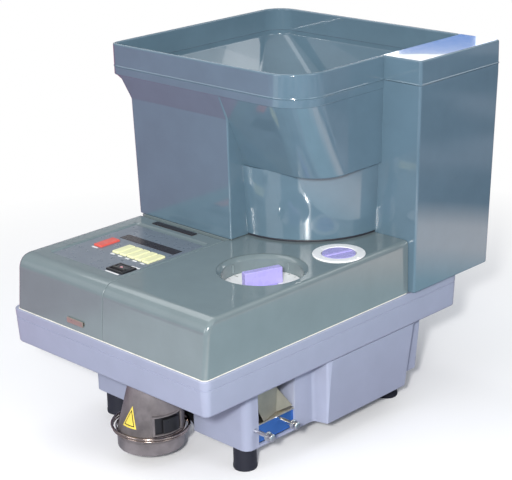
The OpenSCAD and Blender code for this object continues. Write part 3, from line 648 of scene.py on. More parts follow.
def make_panel_film():
    film = loft("panel_sheet", stack(
        lambda t: panel_plan(2.0 + t, 1.4 + t, 4.9 + t, 3), panel.z0, panel.z1, 0, 0.3))
    carve(film, key_holes(panel.z0 - 1, panel.z1 + 1))
    stand_in(film, "control_panel")


def make_seam_seal():
    """Pale sealing bead between the lower tray and the deck."""
    outline = plate(cover.x0, deck.x1, cover.y0, deck.y1, RIDGE_R)
    low, high, out = tray.z1 + 0.05, deck.z0 - 0.05, 0.8
    steps = [(3, low), (0.3 - out, low), (-out, low + 0.3), (-out, high - 0.3), (0.3 - out, high), (3, high)]
    bead = loft("seam_seal", rings_at(outline, steps), loop=True)
    finish_piece(bead, CREAM, "root")


make_deck()
make_cover()
make_panel_film()
make_seam_seal()

# ---- controls


def make_keys():
    """Key caps with rounded edges and a shallow dish."""
    for name in KEYS + ["red_key"]:
        key = Extent(name)
        x0, x1, y0, y1 = key.x0 + 0.6, key.x1 - 0.6, key.y0 + 1, key.y1 - 1
        cap = stack(plate(x0, x1, y0, y1, 1.2), key.z0, key.z1, 0, 1.1)
        dish = ring_at(round_rect(x0 + 2.2, x1 - 2.2, y0 + 2.6, y1 - 2.6, [1] * 4), key.z1 - 0.35)
        piece = loft(name + "_cap", cap + [dish])
        stand_in(piece, name)


def make_window():
    pane = loft("window_pane", stack(window.plan(0, 0, 0.8), window.z0, window.z1, 0, 0.4))
    stand_in(pane, "display_window")


def make_rocker_frame():
    body = stack(rocker.plan(1.5, 1.3, 0.6), rocker.z0, panel.z1)
    rim = stack(rocker.plan(0, 0, 1.4), panel.z1, rocker.z1, 0, 1.0)
    shell = merge(loft("switch_frame", body), loft("rim", rim))
    carve(shell, loft("hollow", stack(rocker.plan(3.1, 2.4, 0.5), 172, rocker.z1 + 2)))
    stand_in(shell, "rocker_frame")


def make_rocker():
    """Paddle with a dished top, tipped to its resting side, and the dot on its face."""
    pivot_z = 180.0
    half_x, half_y, height = 9.0, 5.9, 8.5
    tilt = math.radians(-8)
    side = [(-half_y, -4.0), (half_y, -4.0), (half_y, height - 0.6), (half_y - 0.8, height)]
    side += [(0.0, height - 1.1), (-half_y + 0.8, height), (-half_y, height - 0.6)]
    rings = []
    for x, pull in ((-half_x, 0.5), (-half_x + 0.6, 0.0), (half_x - 0.6, 0.0), (half_x, 0.5)):
        profile = [(y * (1 - pull / half_y), z - (pull if z > 0 else 0)) for y, z in side]
        rings.append([(rocker.cx + x, y, z) for y, z in turned((rocker.cy, pivot_z), tilt, profile)])
    stand_in(loft("switch_paddle", rings), "rocker_paddle")
    face = [(1.7, 186.6), (1.7, 187.7), (1.3, 187.9)]
    dot = lathe("switch_dot", (rocker.cx - 1, rocker.cy + 1), face, count=32)
    finish_piece(dot, PINK, "rocker")


def make_marks():
    """Plain printed bars beside the keys and the switch, with no lettering."""
    spans = []
    for name in KEYS:
        key = Extent(name)
        spans.append((key.cx - 2.8, key.cx + 2.8, key.y0 - 3.2, key.y0 - 1.0))
    spans.append((red.cx - 4.2, red.cx + 4.2, red.y0 - 3.4, red.y0 - 1.0))
    spans.append((rocker.x0 + 3, rocker.x1 - 3, rocker.y0 - 3.2, rocker.y0 - 1.0))
    spans.append((rocker.cx + 1, rocker.x1 + 1, rocker.y1 + 1.2, rocker.y1 + 3.4))
    z0 = panel.z1 - 0.02
    bars = [loft("bar", stack(plate(x0, x1, y0, y1, 0.5), z0, z0 + 0.14)) for x0, x1, y0, y1 in spans]
    piece = joined("printed_bars", *bars)
    finish_piece(piece, WHITE, "cover")


def make_badge():
    """Blank dark plate behind the control panel."""
    z = deck.z1 - 0.05
    x0, x1 = -104, -42
    badge = stack(plate(x0, x1, panel.y1 + 6.5, panel.y1 + 14.5, 0.8), z, z + 0.7, 0, 0.3)
    finish_piece(loft("blank_badge", badge), GLASS, "cover")


def make_latch():
    latch = Extent("cover_latch")
    tab = stack(plate(latch.x0, latch.x1, latch.y0, latch.y0 + 1.5, 0.4), 137, 142.6, 0.4, 0.4)
    neck = boxes("neck", [(-50.5, -38, latch.y0 + 1, latch.y1 - 1, 138.3, 141.3)])
    flange = boxes("flange", [(-53, -35.5, latch.y1 - 1.2, latch.y1, latch.z0, latch.z1)])
    piece = merge(loft("latch_tab", tab), neck, flange)
    stand_in(piece, "cover_latch")


make_keys()
make_window()
make_rocker_frame()
make_rocker()
make_marks()
make_badge()
make_latch()

# ---- dials


THICKNESS_TURN, DIAMETER_TURN = math.radians(70.6), math.radians(73)
PLATE_LOW, PLATE_TOP = scale.z0 - DIAL_DROP, scale.z1 - DIAL_DROP
HUB_R, HUB_GAP = 14.9, 0.3
FACE_R = 16.9
SPINDLE_R, CAM_TOP = 3.0, 163.1


def bar_plan(dial, turn, half_l, half_w, corner):
    """Outline of a turned bar over a dial, as a function of how far it is pulled in."""
    def outline(t):
        flat = round_rect(-half_l + t, half_l - t, -half_w + t, half_w - t, [corner(half_w - t)] * 4)
        return turned(dial.mid, turn, flat)
    return outline


def make_scale():
    """White dial plate in the well, with plain marks round its edge."""
    low, top, r0 = PLATE_LOW, PLATE_TOP, HUB_R + HUB_GAP
    ring = lathe("dial_scale", scale.mid, [
        (r0, low), (scale.r, low), (scale.r, top - 0.4), (scale.r - 0.4, top), (r0 + 0.4, top),
        (r0, top - 0.4)], loop=True)
    stand_in(ring, "thickness_scale")
    ticks = []
    count = 24
    for i in range(count):
        length, half = (5.0, 0.45) if i % 4 == 0 else (2.5, 0.3)
        r1 = scale.r - 1.5
        r0 = r1 - length
        corners = [(r0, -half), (r1, -half), (r1, half), (r0, half)]
        outline = turned(scale.mid, math.tau * i / count, corners)
        ticks.append(loft("tick", [ring_at(outline, top - 0.05), ring_at(outline, top + 0.08)]))
    finish_piece(joined("dial_ticks", *ticks), BLACK, "root")


def make_thickness_knob():
    """Upright bar on a round hub, with a spindle and a cam below the deck."""
    knob = Extent("thickness_knob")
    bar = bar_plan(scale, THICKNESS_TURN, 20.3, 4.2, lambda room: 1.0)
    body = loft("thickness_knob_body", stack(bar, PLATE_TOP + 0.2, knob.z1, 0.4, 0.8))
    top = [(HUB_R, PLATE_LOW), (HUB_R, PLATE_TOP), (HUB_R - 0.5, PLATE_TOP + 0.5)]
    hub = lathe("hub", scale.mid, top)
    spindle = rod("spindle", scale.mid, SPINDLE_R, 162, PLATE_TOP, 32)
    cam = rod("cam", scale.mid, 7, knob.z0, CAM_TOP, 48)
    merge(body, hub, spindle, cam)
    stand_in(body, "thickness_knob")


def make_dial_ring():
    """White ring round the diameter knob, with a small notch in its brim."""
    top = bezel.z1
    brim = bezel.r + 1.1
    ring = lathe("dial_ring", bezel.mid, [
        (bezel.r - 1.7, bezel.z0), (bezel.r - 1.7, deck.z1), (brim, deck.z1), (brim, top - 0.8),
        (brim - 0.3, top - 0.3), (brim - 1.0, top), (18.2, top), (17.6, top - 0.3), (17.4, top - 0.9),
        (17.4, bezel.z0)], loop=True)
    edge = bezel.cx + brim
    notch = boxes("notch", [(edge - 2.6, edge + 1, bezel.cy - 1.4, bezel.cy + 1.4, top - 0.7, top + 1)])
    carve(ring, notch)
    stand_in(ring, "diameter_bezel")


def make_diameter_knob():
    """Flat knob with a slitted grip, a spindle and an off-centre cam."""
    knob = Extent("diameter_knob")
    face, low = deck.z1 + 0.9, 176
    rim = [(FACE_R - t, face - d) for t, d in edge_steps(0.8)]
    body = lathe("diameter_knob_body", bezel.mid, [(FACE_R, low)] + rim + [(6.0, face)])

    def blade(half_l, half_w):
        return bar_plan(bezel, DIAMETER_TURN, half_l, half_w, lambda room: min(0.8, 0.9 * room))

    merge(body, loft("grip", stack(blade(15, 2.2), face - 3, knob.z1, 0, 0.7)))
    carve(body, loft("slit", stack(blade(13.5, 0.4), knob.z1 - 1.2, knob.z1 + 1)))
    spindle = rod("spindle", bezel.mid, SPINDLE_R, CAM_TOP, low, 32)
    cam = rod("cam", (bezel.cx + 2, bezel.cy), 6, knob.z0, CAM_TOP, 48)
    body = joined("diameter_knob_body", body, spindle, cam)
    stand_in(body, "diameter_knob")


make_scale()
make_thickness_knob()
make_dial_ring()
make_diameter_knob()

# ---- hopper

rim = Extent("hopper_rim")
body_box = Extent("hopper_body")
MOUTH_X1 = 105.8
TOWER_Y0 = 291.0
SEAM_Z = body_box.z1
BAND_Z = 340.0
FLARE_Z = 314.5
FUNNEL_Z = 262.0
TOWER_Z = 187.5
DRUM_Z = 189.0
DRUM_R, DRUM_WALL = 90.5, 3.0
FUNNEL_R = 94.5
LEFT_FOOT_X, LEFT_SHELF_X, LEFT_BAND_X = -141.6, -146.4, -151.5
LEFT_FRONT_Y, LEFT_BAND_Y = 175.5, 165.2
REAR_FOOT_X1, REAR_FOOT_Y1 = 145.5, 416.0
CORNER_STEPS = 12
BEAD = 0.5
LIP = 4.1


def mouth_plan(t):
    radii = [10 - t, 40 - t, 8 - t, 28 - t]
    return round_rect(rim.x0 + t, MOUTH_X1 - t, rim.y0 + t, rim.y1 - t, radii, CORNER_STEPS)


def tower_plan(t):
    return round_rect(MOUTH_X1 - 3, rim.x1 - t, TOWER_Y0 + t, rim.y1 - t, [1, 3, 3, 1], CORNER_STEPS)


def bead_steps(z0):
    """(inset, height) of the raised bead along the seam."""
    return [(BEAD, z0), (0.15, z0 + 0.2), (0, z0 + 0.7), (0.15, z0 + 1.2), (BEAD, z0 + 1.5)]


def make_rim():
    """Rounded lip round the mouth, and the cap of the tower beside it."""
    z0 = rim.z0 - 0.1
    lip_r = (LIP - BEAD) / 2
    outer = bead_steps(z0) + [(BEAD + t, rim.z1 - d) for t, d in edge_steps(lip_r, 6)]
    inner = [(LIP - t, rim.z1 - d) for t, d in reversed(edge_steps(lip_r, 6))][1:] + [(LIP, z0)]
    ring = loft("hopper_lip", rings_at(mouth_plan, outer + inner), loop=True)
    steps = bead_steps(z0) + [(BEAD + t, rim.z1 - 0.02 - d) for t, d in edge_steps(1.8, 6)]
    merge(ring, loft("cap", rings_at(tower_plan, steps)))
    stand_in(ring, "hopper_rim")


def left_side(z):
    """Left edge of the hopper's lower shell: a drafted wall, then the flare under the band."""
    if z <= FLARE_Z:
        share = max(0.0, (z - TOWER_Z) / (FLARE_Z - TOWER_Z))
        return LEFT_FOOT_X + (LEFT_SHELF_X - LEFT_FOOT_X) * share
    share = min(1.0, (z - FLARE_Z) / (BAND_Z - FLARE_Z))
    return LEFT_SHELF_X + (LEFT_BAND_X - LEFT_SHELF_X) * share


def left_tower():
    """Front block of the hopper, left of the drum, which flares out under the band."""
    x1, back = -0.8, 300
    front = LEFT_FRONT_Y
    steps = [(TOWER_Z, front, 0.8), (TOWER_Z + 0.3, front, 0.25), (TOWER_Z + 1, front, 0),
             (FLARE_Z - 1, front, 0), (FLARE_Z + 0.6, front - 0.45, 0), (BAND_Z + 0.4, LEFT_BAND_Y, 0)]
    rings = []
    for z, y0, t in steps:
        plan = round_rect(left_side(z) + t, x1 - t, y0 + t, back, [2.5, 1.6, 0.5, 0.5], CORNER_STEPS)
        rings.append(ring_at(plan, z))
    return loft("left_tower", rings)


def rear_tower():
    """Block at the back of the hopper, down to the tray."""
    foot = body_box.z0
    rings = []
    for z, t in ((foot, 1.2), (foot + 0.4, 0.35), (foot + 1.2, 0), (FLARE_Z, 0), (BAND_Z, 0), (SEAM_Z, 0)):
        share = min(1.0, (z - foot) / (BAND_Z - foot))
        x1 = REAR_FOOT_X1 + (rim.x1 - BEAD - REAR_FOOT_X1) * share
        y1 = REAR_FOOT_Y1 + (rim.y1 - BEAD - 0.05 - REAR_FOOT_Y1) * share
        plan = round_rect(left_side(z) + t, x1 - t, TOWER_Y0 + t, y1 - t, [2, 2.5, 3, 20], CORNER_STEPS)
        rings.append(ring_at(plan, z))
    return loft("rear_tower", rings)


def drum_ring(r, z):
    x, y = disc.mid
    return ring_at(round_rect(x - r, x + r, y - r, y + r, [r] * 4, CORNER_STEPS), z)


def funnel():
    """Outside of the funnel, from its squarish foot to the mouth."""
    reach = 92
    foot = plate(disc.cx - FUNNEL_R, 102.5, disc.cy - reach, disc.cy + reach, 38, CORNER_STEPS)
    edge = [(t, FUNNEL_Z + d) for t, d in reversed(edge_steps(2.0))]
    return loft("funnel", rings_at(foot, edge) + rings_at(mouth_plan, [(1.3, BAND_Z + 1)]))


def hopper_inside():
    """Cutter for the space that coins fall through: a round bore, then the funnel, then the mouth."""
    bore = DRUM_R - DRUM_WALL
    rings = [drum_ring(bore, disc.z0 - 1.5), drum_ring(bore, TOWER_Z - 1)]
    rings += [drum_ring(bore + 1.1, FUNNEL_Z - 0.8), drum_ring(bore + 2.1, FUNNEL_Z + 0.8)]
    rings += rings_at(mouth_plan, [(LIP + 0.9, BAND_Z + 2.4), (LIP + 0.25, BAND_Z + 3.2), (LIP, BAND_Z + 4.4),
                          (LIP, SEAM_Z + 2)])
    return loft("inside", rings)


def make_hopper():
    band = [(BEAD + t, BAND_Z + d) for t, d in reversed(edge_steps(1.2))]
    band += [(BEAD, SEAM_Z - 0.5), (BEAD + 0.4, SEAM_Z)]
    wall = [(DRUM_R - 0.9, DRUM_Z), (DRUM_R - 0.2, DRUM_Z + 0.3), (DRUM_R, DRUM_Z + 1)]
    wall.append((FUNNEL_R, FUNNEL_Z + 0.5))
    drum = lathe("drum", disc.mid, wall, count=128)
    shell = left_tower()
    merge(shell, rear_tower(), loft("band", rings_at(mouth_plan, band)), funnel(), drum)
    carve(shell, hopper_inside())
    shell.name = "hopper_shell"
    stand_in(shell, "hopper_body")


def make_drum_shade_ring():
    """Painted shade: a black rubber ring that fills the gap between the drum and the deck, where that gap
    lies in shadow.
    """
    low, high = deck.z1 + 0.05, DRUM_Z - 0.05
    profile = [(87.3, low), (89.6, low), (89.9, deck.z1 + 1), (89.6, high), (87.9, high)]
    ring = lathe("drum_shade_ring", disc.mid, profile, loop=True, count=128)
    finish_piece(ring, RUBBER, "root")


make_rim()
make_hopper()
make_drum_shade_ring()

# ---- spout, ring and outlet

SPOUT_X, SPOUT_Y = collar.mid
COLLAR_R = 33.5
CONE_Z0 = 30.0
CONE_SHIFT, CONE_TOP_R = 6.4, 26.0
BUTTON_TURN = -8.0
WINDOW_HALF = 15.4


def cone_at(z):
    """Centre and radius of the spout's outside at this height."""
    share = max(0.0, (z - CONE_Z0) / (spout_box.z1 - CONE_Z0))
    shift = CONE_SHIFT * share
    return SPOUT_X + shift, SPOUT_Y + shift, COLLAR_R + (CONE_TOP_R - COLLAR_R) * share


def cone_ring(z, t):
    x, y, r = cone_at(z)
    return ring_at(circle(x, y, r - t, 96), z)


def sector(name, r0, r1, z0, z1, middle, half, steps=12):
    """Block between two radii and two angles round the spout's axis."""
    rings = []
    for i in range(steps + 1):
        a = math.radians(middle - half + 2 * half * i / steps)
        corners = [(r0, z0), (r1, z0), (r1, z1), (r0, z1)]
        rings.append([(*polar(*collar.mid, r, a), z) for r, z in corners])
    return loft(name, rings)


def make_spout():
    """Hollow cone with a grooved foot, a raised frame and a straight-sided window for the button."""
    low = spout_box.z0
    steps = [(low, 1.0), (low + 0.3, 0.3), (low + 1.0, 0), (27.6, 0), (28.0, 0.7), (29.4, 0.7), (29.8, 0)]
    steps += [(CONE_Z0 + 3, 0), (60, 0), (86, 0), (spout_box.z1, 0)]
    outer = [cone_ring(z, t) for z, t in steps]
    inner = [cone_ring(z, 2.5) for z in (spout_box.z1, 60, CONE_Z0, low + 0.4)]
    shell = loft("spout_shell", outer + inner + [cone_ring(low, 2.1)], loop=True)
    button = Extent("spout_button")
    z0, z1 = button.z0, button.z1
    merge(shell, bevel(sector("frame_block", 30.2, 34.9, z0 - 1.6, z1 + 1.6, BUTTON_TURN, 30.5), 0.5))
    corners = [(24, -WINDOW_HALF), (40, -WINDOW_HALF), (40, WINDOW_HALF), (24, WINDOW_HALF)]
    plan = turned(collar.mid, math.radians(BUTTON_TURN), corners)
    carve(shell, loft("gap", [ring_at(plan, z0 - 0.3), ring_at(plan, z1 + 0.3)]))
    stand_in(shell, "spout")
    face = bevel(sector("button_face", 30.5, 33.4, z0, z1, BUTTON_TURN, 26.7), 0.5)
    merge(face, bevel(sector("pad", 32, 37, z0 + 1, z1 - 1.4, BUTTON_TURN + 1, 14.6), 0.8))
    stand_in(face, "spout_button")


def thicken(obj, thickness, offset):
    """Gives an open sheet a thickness in millimetres."""
    thick = obj.modifiers.new("thick", "SOLIDIFY")
    thick.thickness = thickness * MM
    thick.offset = offset
    settle(obj)
    return obj


def triangle(name, lift, share):
    """Thin triangle on the front of the spout, shrunk about its middle to this share of its size."""
    bm = bmesh.new()
    rows, columns = 10, 8
    low, height, half_w, facing = 42.0, 22.0, 9.2, math.radians(-87)
    centre = low + height / 3
    grid = []
    for i in range(rows + 1):
        z = centre + (low + height * i / rows - centre) * share
        x, y, r = cone_at(z)
        reach = half_w * share * (1 - i / rows) / r
        row = []
        for j in range(columns + 1):
            a = facing + reach * (2 * j / columns - 1)
            row.append(bm.verts.new(place((*polar(x, y, r + lift, a), z))))
        grid.append(row)
    for lower, upper in zip(grid, grid[1:]):
        for j in range(columns):
            bm.faces.new((lower[j], lower[j + 1], upper[j + 1], upper[j]))
    return thicken(to_object(name, bm), 0.1, 1.0)


def make_sticker():
    """Plain triangular sticker with a dark border line and no symbol: (name, lift, share of size)."""
    layers = [("spout_sticker", 0.12, 1.0, STICKER, "key_yellow"),
              ("sticker_border", 0.24, 0.74, BLACK, "black_plastic"),
              ("sticker_middle", 0.36, 0.60, STICKER, "key_yellow")]
    for name, lift, share, material, slot in layers:
        finish_piece(triangle(name, lift, share), material, "root")


RING_TILT = math.radians(2.6)
RING_FACING = math.radians(-42)


def wire_ring(name, r, z, wire):
    """Wire hoop round the spout that hangs a little lower on its right side."""
    count, around = 128, 16
    rings = []
    for i in range(count):
        a = math.tau * i / count
        ring = []
        for j in range(around):
            b = math.tau * j / around
            reach = r + wire * math.cos(b)
            sag = reach * math.sin(RING_TILT) * math.sin(a - RING_FACING)
            x, y = polar(*collar.mid, reach, a)
            ring.append((x, y, z - sag + wire * math.sin(b)))
        rings.append(ring)
    return loft(name, rings, loop=True)


def make_bag_ring():
    """Sleeve on the collar, three spokes and two wire hoops."""
    ring = Extent("bag_ring")
    z = ring.cz
    sleeve = lathe("sleeve", collar.mid, [
        (33.8, ring.z0), (34.8, ring.z0), (35.0, ring.z0 + 0.4), (35.0, ring.z1 - 0.6), (34.6, ring.z1 - 0.2),
        (33.8, ring.z1 - 0.2)], loop=True)
    spokes = []
    for middle in (60, 180, 300):
        spokes.append(sector("spoke", 34.6, ring.r - 4.2, z - 0.8, z + 0.6, middle, 4.5, 3))
    wires = [wire_ring("upper", ring.r - 3.4, z + 1.9, 1.3), wire_ring("lower", ring.r - 4.0, z - 0.9, 0.9)]
    piece = joined("bag_clamp_ring", sleeve, *wires, *spokes)
    stand_in(piece, "bag_ring")


FOOT_SPOTS = ((101.5, 85), (-88, 85), (100, 302), (-95, 302))


def make_feet():
    """Round feet with a flared sole and a bore for the screw."""
    top = Extent("feet").z1
    profile = [(5.2, 0), (10.6, 0), (11.6, 0.4), (12.0, 1.4), (12.0, 4.0), (11.6, 5.0), (11.4, 23.6),
               (11.0, top), (2.05, top), (2.05, 8), (5.2, 8)]
    parts = [lathe("foot", spot, profile, loop=True, count=64) for spot in FOOT_SPOTS]
    stand_in(joined("rubber_feet", *parts), "feet")


STUD_Y = (84.0, 119.0)
STUD_NUT = [(2.8, 110.8), (3.1, 111.2), (3.1, 113.1), (2.8, 113.5)]
STUD_SHANK = [(2.15, 112.5), (2.15, 134)]
STUD_HEAD = [(2.6, 133.4), (4.5, 133.8), (4.9, 134.3), (4.9, 135.0), (4.4, 135.5), (3.2, 135.8), (3.1, 136.8),
             (3.7, 137.2), (3.9, 137.8), (3.9, 140.6), (3.5, 141.2), (2.4, 141.6)]


def make_studs():
    """Two studs through the outlet plate, each with a six-sided nut and a knurled, flanged head."""
    z = Extent("reject_studs").cz
    parts = []
    for y in STUD_Y:
        parts += [lathe_x("shank", y, z, STUD_SHANK), lathe_x("nut", y, z, STUD_NUT, 6)]
        parts.append(lathe_x("head", y, z, STUD_HEAD, 48, 0.05))
    stand_in(joined("outlet_studs", *parts), "reject_studs")


SHEET_T = 0.9


def sheet(name, *corners):
    """Flat metal sheet with these corners."""
    return thicken(flat_face(name, map(place, corners)), SHEET_T, 0.0)


outlet_box = Extent("reject_plate")
OUTLET_FOOT = outlet_box.z1 + 0.3
OUTLET_TOP = 92.0


def make_chute():
    """Folded chute: a slope down from the track, then two faces that meet in a valley at the opening."""
    chute = Extent("reject_chute")
    valley_low, valley_mid = (110.9, 119.7, OUTLET_FOOT), (105.2, 127.7, 70.8)
    valley_top = (99.6, 135.5, OUTLET_TOP)
    front_top, front_side, front_foot = (113.9, 90, OUTLET_TOP), (116.8, 90, 62), (116.6, 97, OUTLET_FOOT)
    bend_front, bend_back = (62, 92, 125), (62, 136, 125)
    folds = [
        sheet("left_fold", front_foot, valley_low, valley_mid, valley_top, front_top, front_side),
        sheet("right_fold", valley_low, (114.7, 139.2, OUTLET_FOOT + 1.6), valley_mid),
        sheet("upper_fold", front_top, valley_top, bend_back, bend_front),
        sheet("slope", bend_front, bend_back, (chute.x0 + 1, 136, chute.z1), (chute.x0 + 1, 92, chute.z1)),
    ]
    stand_in(joined("chute_sheet", *folds), "reject_chute")


def make_outlet():
    """Shelf, cover plate and side wall of the reject outlet."""
    box = outlet_box
    shelf = stack(plate(90, box.x1, 88.9, 139.6, 0.4), box.z1 - 1.5, box.z1, 0.4, 0.4)
    finish_piece(loft("outlet_shelf", shelf), SHELF, "root")
    outline = plate(113.6, 114.9, box.y0, box.y1, 0.5)
    face = loft("outlet_plate", stack(outline, box.z0, box.z1 - 1.6, 0.3, 0.3))
    stud_z = Extent("reject_studs").cz
    carve(face, *[lathe_x("hole", y, stud_z, [(2.3, 110), (2.3, 120)]) for y in STUD_Y])
    stand_in(face, "reject_plate", BLUE)
    wall = stack(plate(94, 117.0, 139.7, 140.4, 0.2), OUTLET_FOOT, OUTLET_TOP + 0.4)
    finish_piece(loft("outlet_wall", wall), TRAY, "root")


make_chute()
make_outlet()
make_spout()
make_sticker()
make_bag_ring()
make_feet()
make_studs()

# ---- carried-over CAD nodes


def soften(obj):
    """Non-destructive modifiers that weld a CAD node and round its sharp edges a little."""
    weld = obj.modifiers.new("weld", "WELD")
    weld.merge_threshold = 1e-5
    flat = obj.modifiers.new("flat", "DECIMATE")
    flat.decimate_type = "DISSOLVE"
    flat.angle_limit = math.radians(0.6)
    round_edges(obj, 0.6, 3, 40.0)
    even_normals(obj)


def dress_frame():
    for node, slot in NODE_SLOT.items():
        obj = nodes[node]
        if obj.hide_render:
            continue
        obj.data.materials.clear()
        obj.data.materials.append(SLOT_MATERIAL[slot])
        soften(obj)


dress_frame()

# ---- floor, light and camera


PAPER = ((0.93, 0.93, 0.94), (0.96, 0.96, 0.96))
PAPER_BOUNCE = (0.36, 0.35, 0.42)
# Glow colours of the painted reflection that glossy pieces see in the floor.
PAINTED_ROOM_DIM = ((0.10, 0.11, 0.15), (0.50, 0.52, 0.62))
PAINTED_ROOM_LEFT = (0.44, 0.12, 0.26)
PAINTED_ROOM_FRONT = (0.95, 0.92, 1.0)
PAINTED_ROOM_RIGHT, PAINTED_ROOM_RIGHT_NEAR = (1.6, 1.45, 1.4), (0.55, 0.85, 0.95)


def painted_room_reflection(graph, far, x, y):
    """Painted reflection: the colour the floor glows with for glossy rays, a dim room with paler and brighter
    zones that glossy pieces mirror.
    """
    clouds = graph.ramp(graph.noise(2.6, 2.0, 0.5), 0.44, 0.58)
    room = graph.mix(clouds, *[rgba(c) for c in PAINTED_ROOM_DIM])
    room = graph.mix(graph.ramp(x, -0.18, -0.34), room, rgba(PAINTED_ROOM_LEFT))
    in_front = graph.product(graph.ramp(x, -0.50, -0.42), graph.ramp(y, -0.45, -0.55))
    front = graph.mix(graph.ramp(x, -0.10, 0.0), rgba(PAINTED_ROOM_FRONT), room)
    room = graph.mix(in_front, room, front)
    to_right = graph.product(graph.ramp(far, 0.80, 0.70), graph.ramp(x, 0.2, 0.3))
    bright = graph.mix(graph.ramp(far, 0.62, 0.50), rgba(PAINTED_ROOM_RIGHT), rgba(PAINTED_ROOM_RIGHT_NEAR))
    return graph.mix(to_right, room, bright)


def floor_graph():
    """Paper that looks pale, yet throws little light back; for glossy rays it glows with a painted reflection
    of a dim room.
    """
    graph = Graph(bpy.data.materials.new("floor_paper"))
    graph.tree.nodes.remove(graph.shader)
    spot = graph.add("SeparateXYZ", Vector=graph.where)
    length = graph.add("VectorMath", Vector=graph.where)
    length.operation = "LENGTH"
    far = length.outputs["Value"]
    tint = graph.mix(graph.noise(3.0), *[rgba(c) for c in PAPER])
    paper = graph.add("BsdfDiffuse", Color=tint)
    white = graph.add("Emission", Color=rgba((1, 1, 1)))
    seen = graph.choose(graph.ramp(far, 0.35, 0.8), paper, white)
    bounce = graph.add("BsdfDiffuse", Color=rgba(PAPER_BOUNCE))
    room = painted_room_reflection(graph, far, spot.outputs["X"], spot.outputs["Y"])
    # The floor glows with the painted reflection, but only for glossy rays.
    room_glow = graph.add("Emission", Color=room)
    path = graph.add("LightPath")
    unseen = graph.choose(path.outputs["Is Glossy Ray"], bounce, room_glow)
    graph.show(graph.choose(path.outputs["Is Camera Ray"], unseen, seen), "Material Output")
    return graph.owner


def make_floor():
    reach = 6.0
    corners = ((-reach, -reach), (reach, -reach), (reach, reach), (-reach, reach))
    floor = flat_face("floor", ring_at(corners, 0))
    floor.data.materials.append(floor_graph())


def area_light(name, at, toward, size, power, color, size_y=None):
    """Square lamp, or a rectangle when size_y is given; metres and watts."""
    data = bpy.data.lights.new(name, "AREA")
    data.energy = power
    data.color = color
    data.size = size
    if size_y:
        data.shape = "RECTANGLE"
        data.size_y = size_y
    lamp = bpy.data.objects.new(name, data)
    lamp.location = at
    lamp.rotation_mode = "QUATERNION"
    lamp.rotation_quaternion = (Vector(toward) - Vector(at)).to_track_quat("-Z", "Y")
    bpy.context.scene.collection.objects.link(lamp)


SKY_LOW, SKY_MIDDLE, SKY_HIGH = (0.34, 0.33, 0.40), (0.30, 0.33, 0.38), (0.95, 0.97, 1.0)
SKY_STRENGTH = 0.72
PURE, WARM, ROSY = (1.0, 1.0, 1.0), (1.0, 0.99, 0.97), (1.0, 0.97, 1.0)
COOL, BLUISH, BLUE_LIGHT = (0.96, 0.98, 1.0), (0.93, 0.97, 1.0), (0.0, 0.24, 1.0)


def make_sky():
    """Soft grey studio that lights the object, behind a plain white that only the camera sees."""
    world = bpy.data.worlds.new("studio")
    bpy.context.scene.world = world
    graph = Graph(world, "Background")
    up = graph.add("SeparateXYZ", Vector=graph.add("TexCoord").outputs["Generated"]).outputs["Z"]
    ramp = graph.add("ValToRGB", Fac=up)
    stops = ramp.color_ramp.elements
    stops[0].position, stops[0].color = 0.0, rgba(SKY_LOW)
    stops[1].position, stops[1].color = 1.0, rgba(SKY_HIGH)
    stops.new(0.35).color = rgba(SKY_MIDDLE)
    graph.set(Color=ramp.outputs["Color"], Strength=SKY_STRENGTH)
    white = graph.add("Background", Color=rgba((1, 1, 1)), Strength=1.0)
    path = graph.add("LightPath")
    graph.show(graph.choose(path.outputs["Is Camera Ray"], graph.shader, white), "World Output")


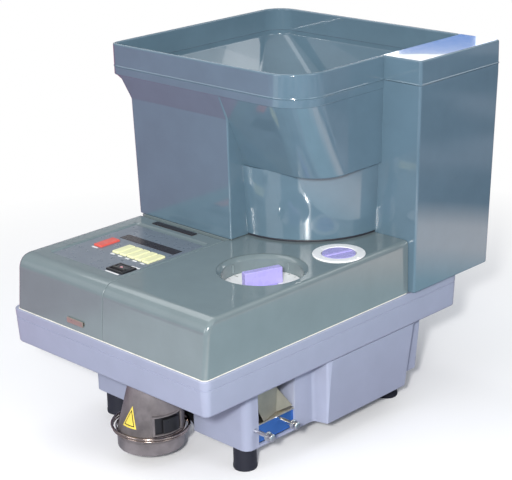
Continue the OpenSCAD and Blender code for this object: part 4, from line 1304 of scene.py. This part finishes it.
def make_light():
    """Soft boxes round the machine, a small flash, and cards that its top faces mirror."""
    middle, lip = (0.0, 0.0, 0.2), (0.0, 0.0, 0.37)
    tower_top = place(((MOUTH_X1 + rim.x1) / 2, (TOWER_Y0 + rim.y1) / 2, rim.z1))
    lamps = [
        ("top_box", (-0.75, 0.1, 1.45), middle, 0.9, 4, COOL, 0.9),
        ("front_box", (-0.2, -1.9, 0.8), middle, 0.8, 6, ROSY, 0.7),
        ("left_card", (-1.15, -1.25, 0.85), middle, 0.8, 0.8, ROSY, 0.7),
        ("right_box", (1.75, 0.1, 1.0), middle, 0.7, 4, BLUISH, 0.9),
        ("inner_card", (0.6, 1.2, 1.3), middle, 0.6, 1.0, PURE),
        ("glint_right", (0.42, 1.28, 1.3), middle, 0.36, 0.7, PURE),
        ("flash", (1.1, -1.3, 0.88), middle, 0.10, 28, WARM),
        ("flash_halo", (1.05, -1.35, 0.82), middle, 0.45, 8, WARM),
        ("lip_card", (-3.55, 3.28, 1.54), lip, 1.7, 4, PURE, 0.22),
        ("upper_card", (-0.95, 1.5, 0.80), tower_top, 0.3, 0.2, PURE, 0.08),
        ("right_card", (-0.73, 1.5, 0.735), tower_top, 0.14, 0.16, PURE, 0.2),
        ("blue_card", (-0.945, 1.5, 0.68), tower_top, 0.38, 0.14, BLUE_LIGHT, 0.15),
    ]
    for lamp in lamps:
        area_light(*lamp)


def make_camera():
    """Camera from the front right and a little above, slightly rolled."""
    azimuth, elevation, roll = (math.radians(v) for v in (44.87, 19.31, -1.64))
    distance, target = 1.7375, place((-125.6, 336.8, 115.8))
    flat = math.cos(elevation)
    back = Vector((math.sin(azimuth) * flat, -math.cos(azimuth) * flat, math.sin(elevation)))
    right = Vector((math.cos(azimuth), math.sin(azimuth), 0))
    up = back.cross(right)
    across = right * math.cos(roll) + up * math.sin(roll)
    above = up * math.cos(roll) - right * math.sin(roll)
    data = bpy.data.cameras.new("camera")
    data.sensor_width = 36.0
    data.lens = 104.64
    camera = bpy.data.objects.new("camera", data)
    bpy.context.scene.collection.objects.link(camera)
    camera.matrix_world = Matrix((across, above, back)).transposed().to_4x4()
    camera.location = target + back * distance
    bpy.context.scene.camera = camera


make_floor()
make_sky()
make_light()
make_camera()
bpy.context.scene.view_settings.view_transform = "Standard"
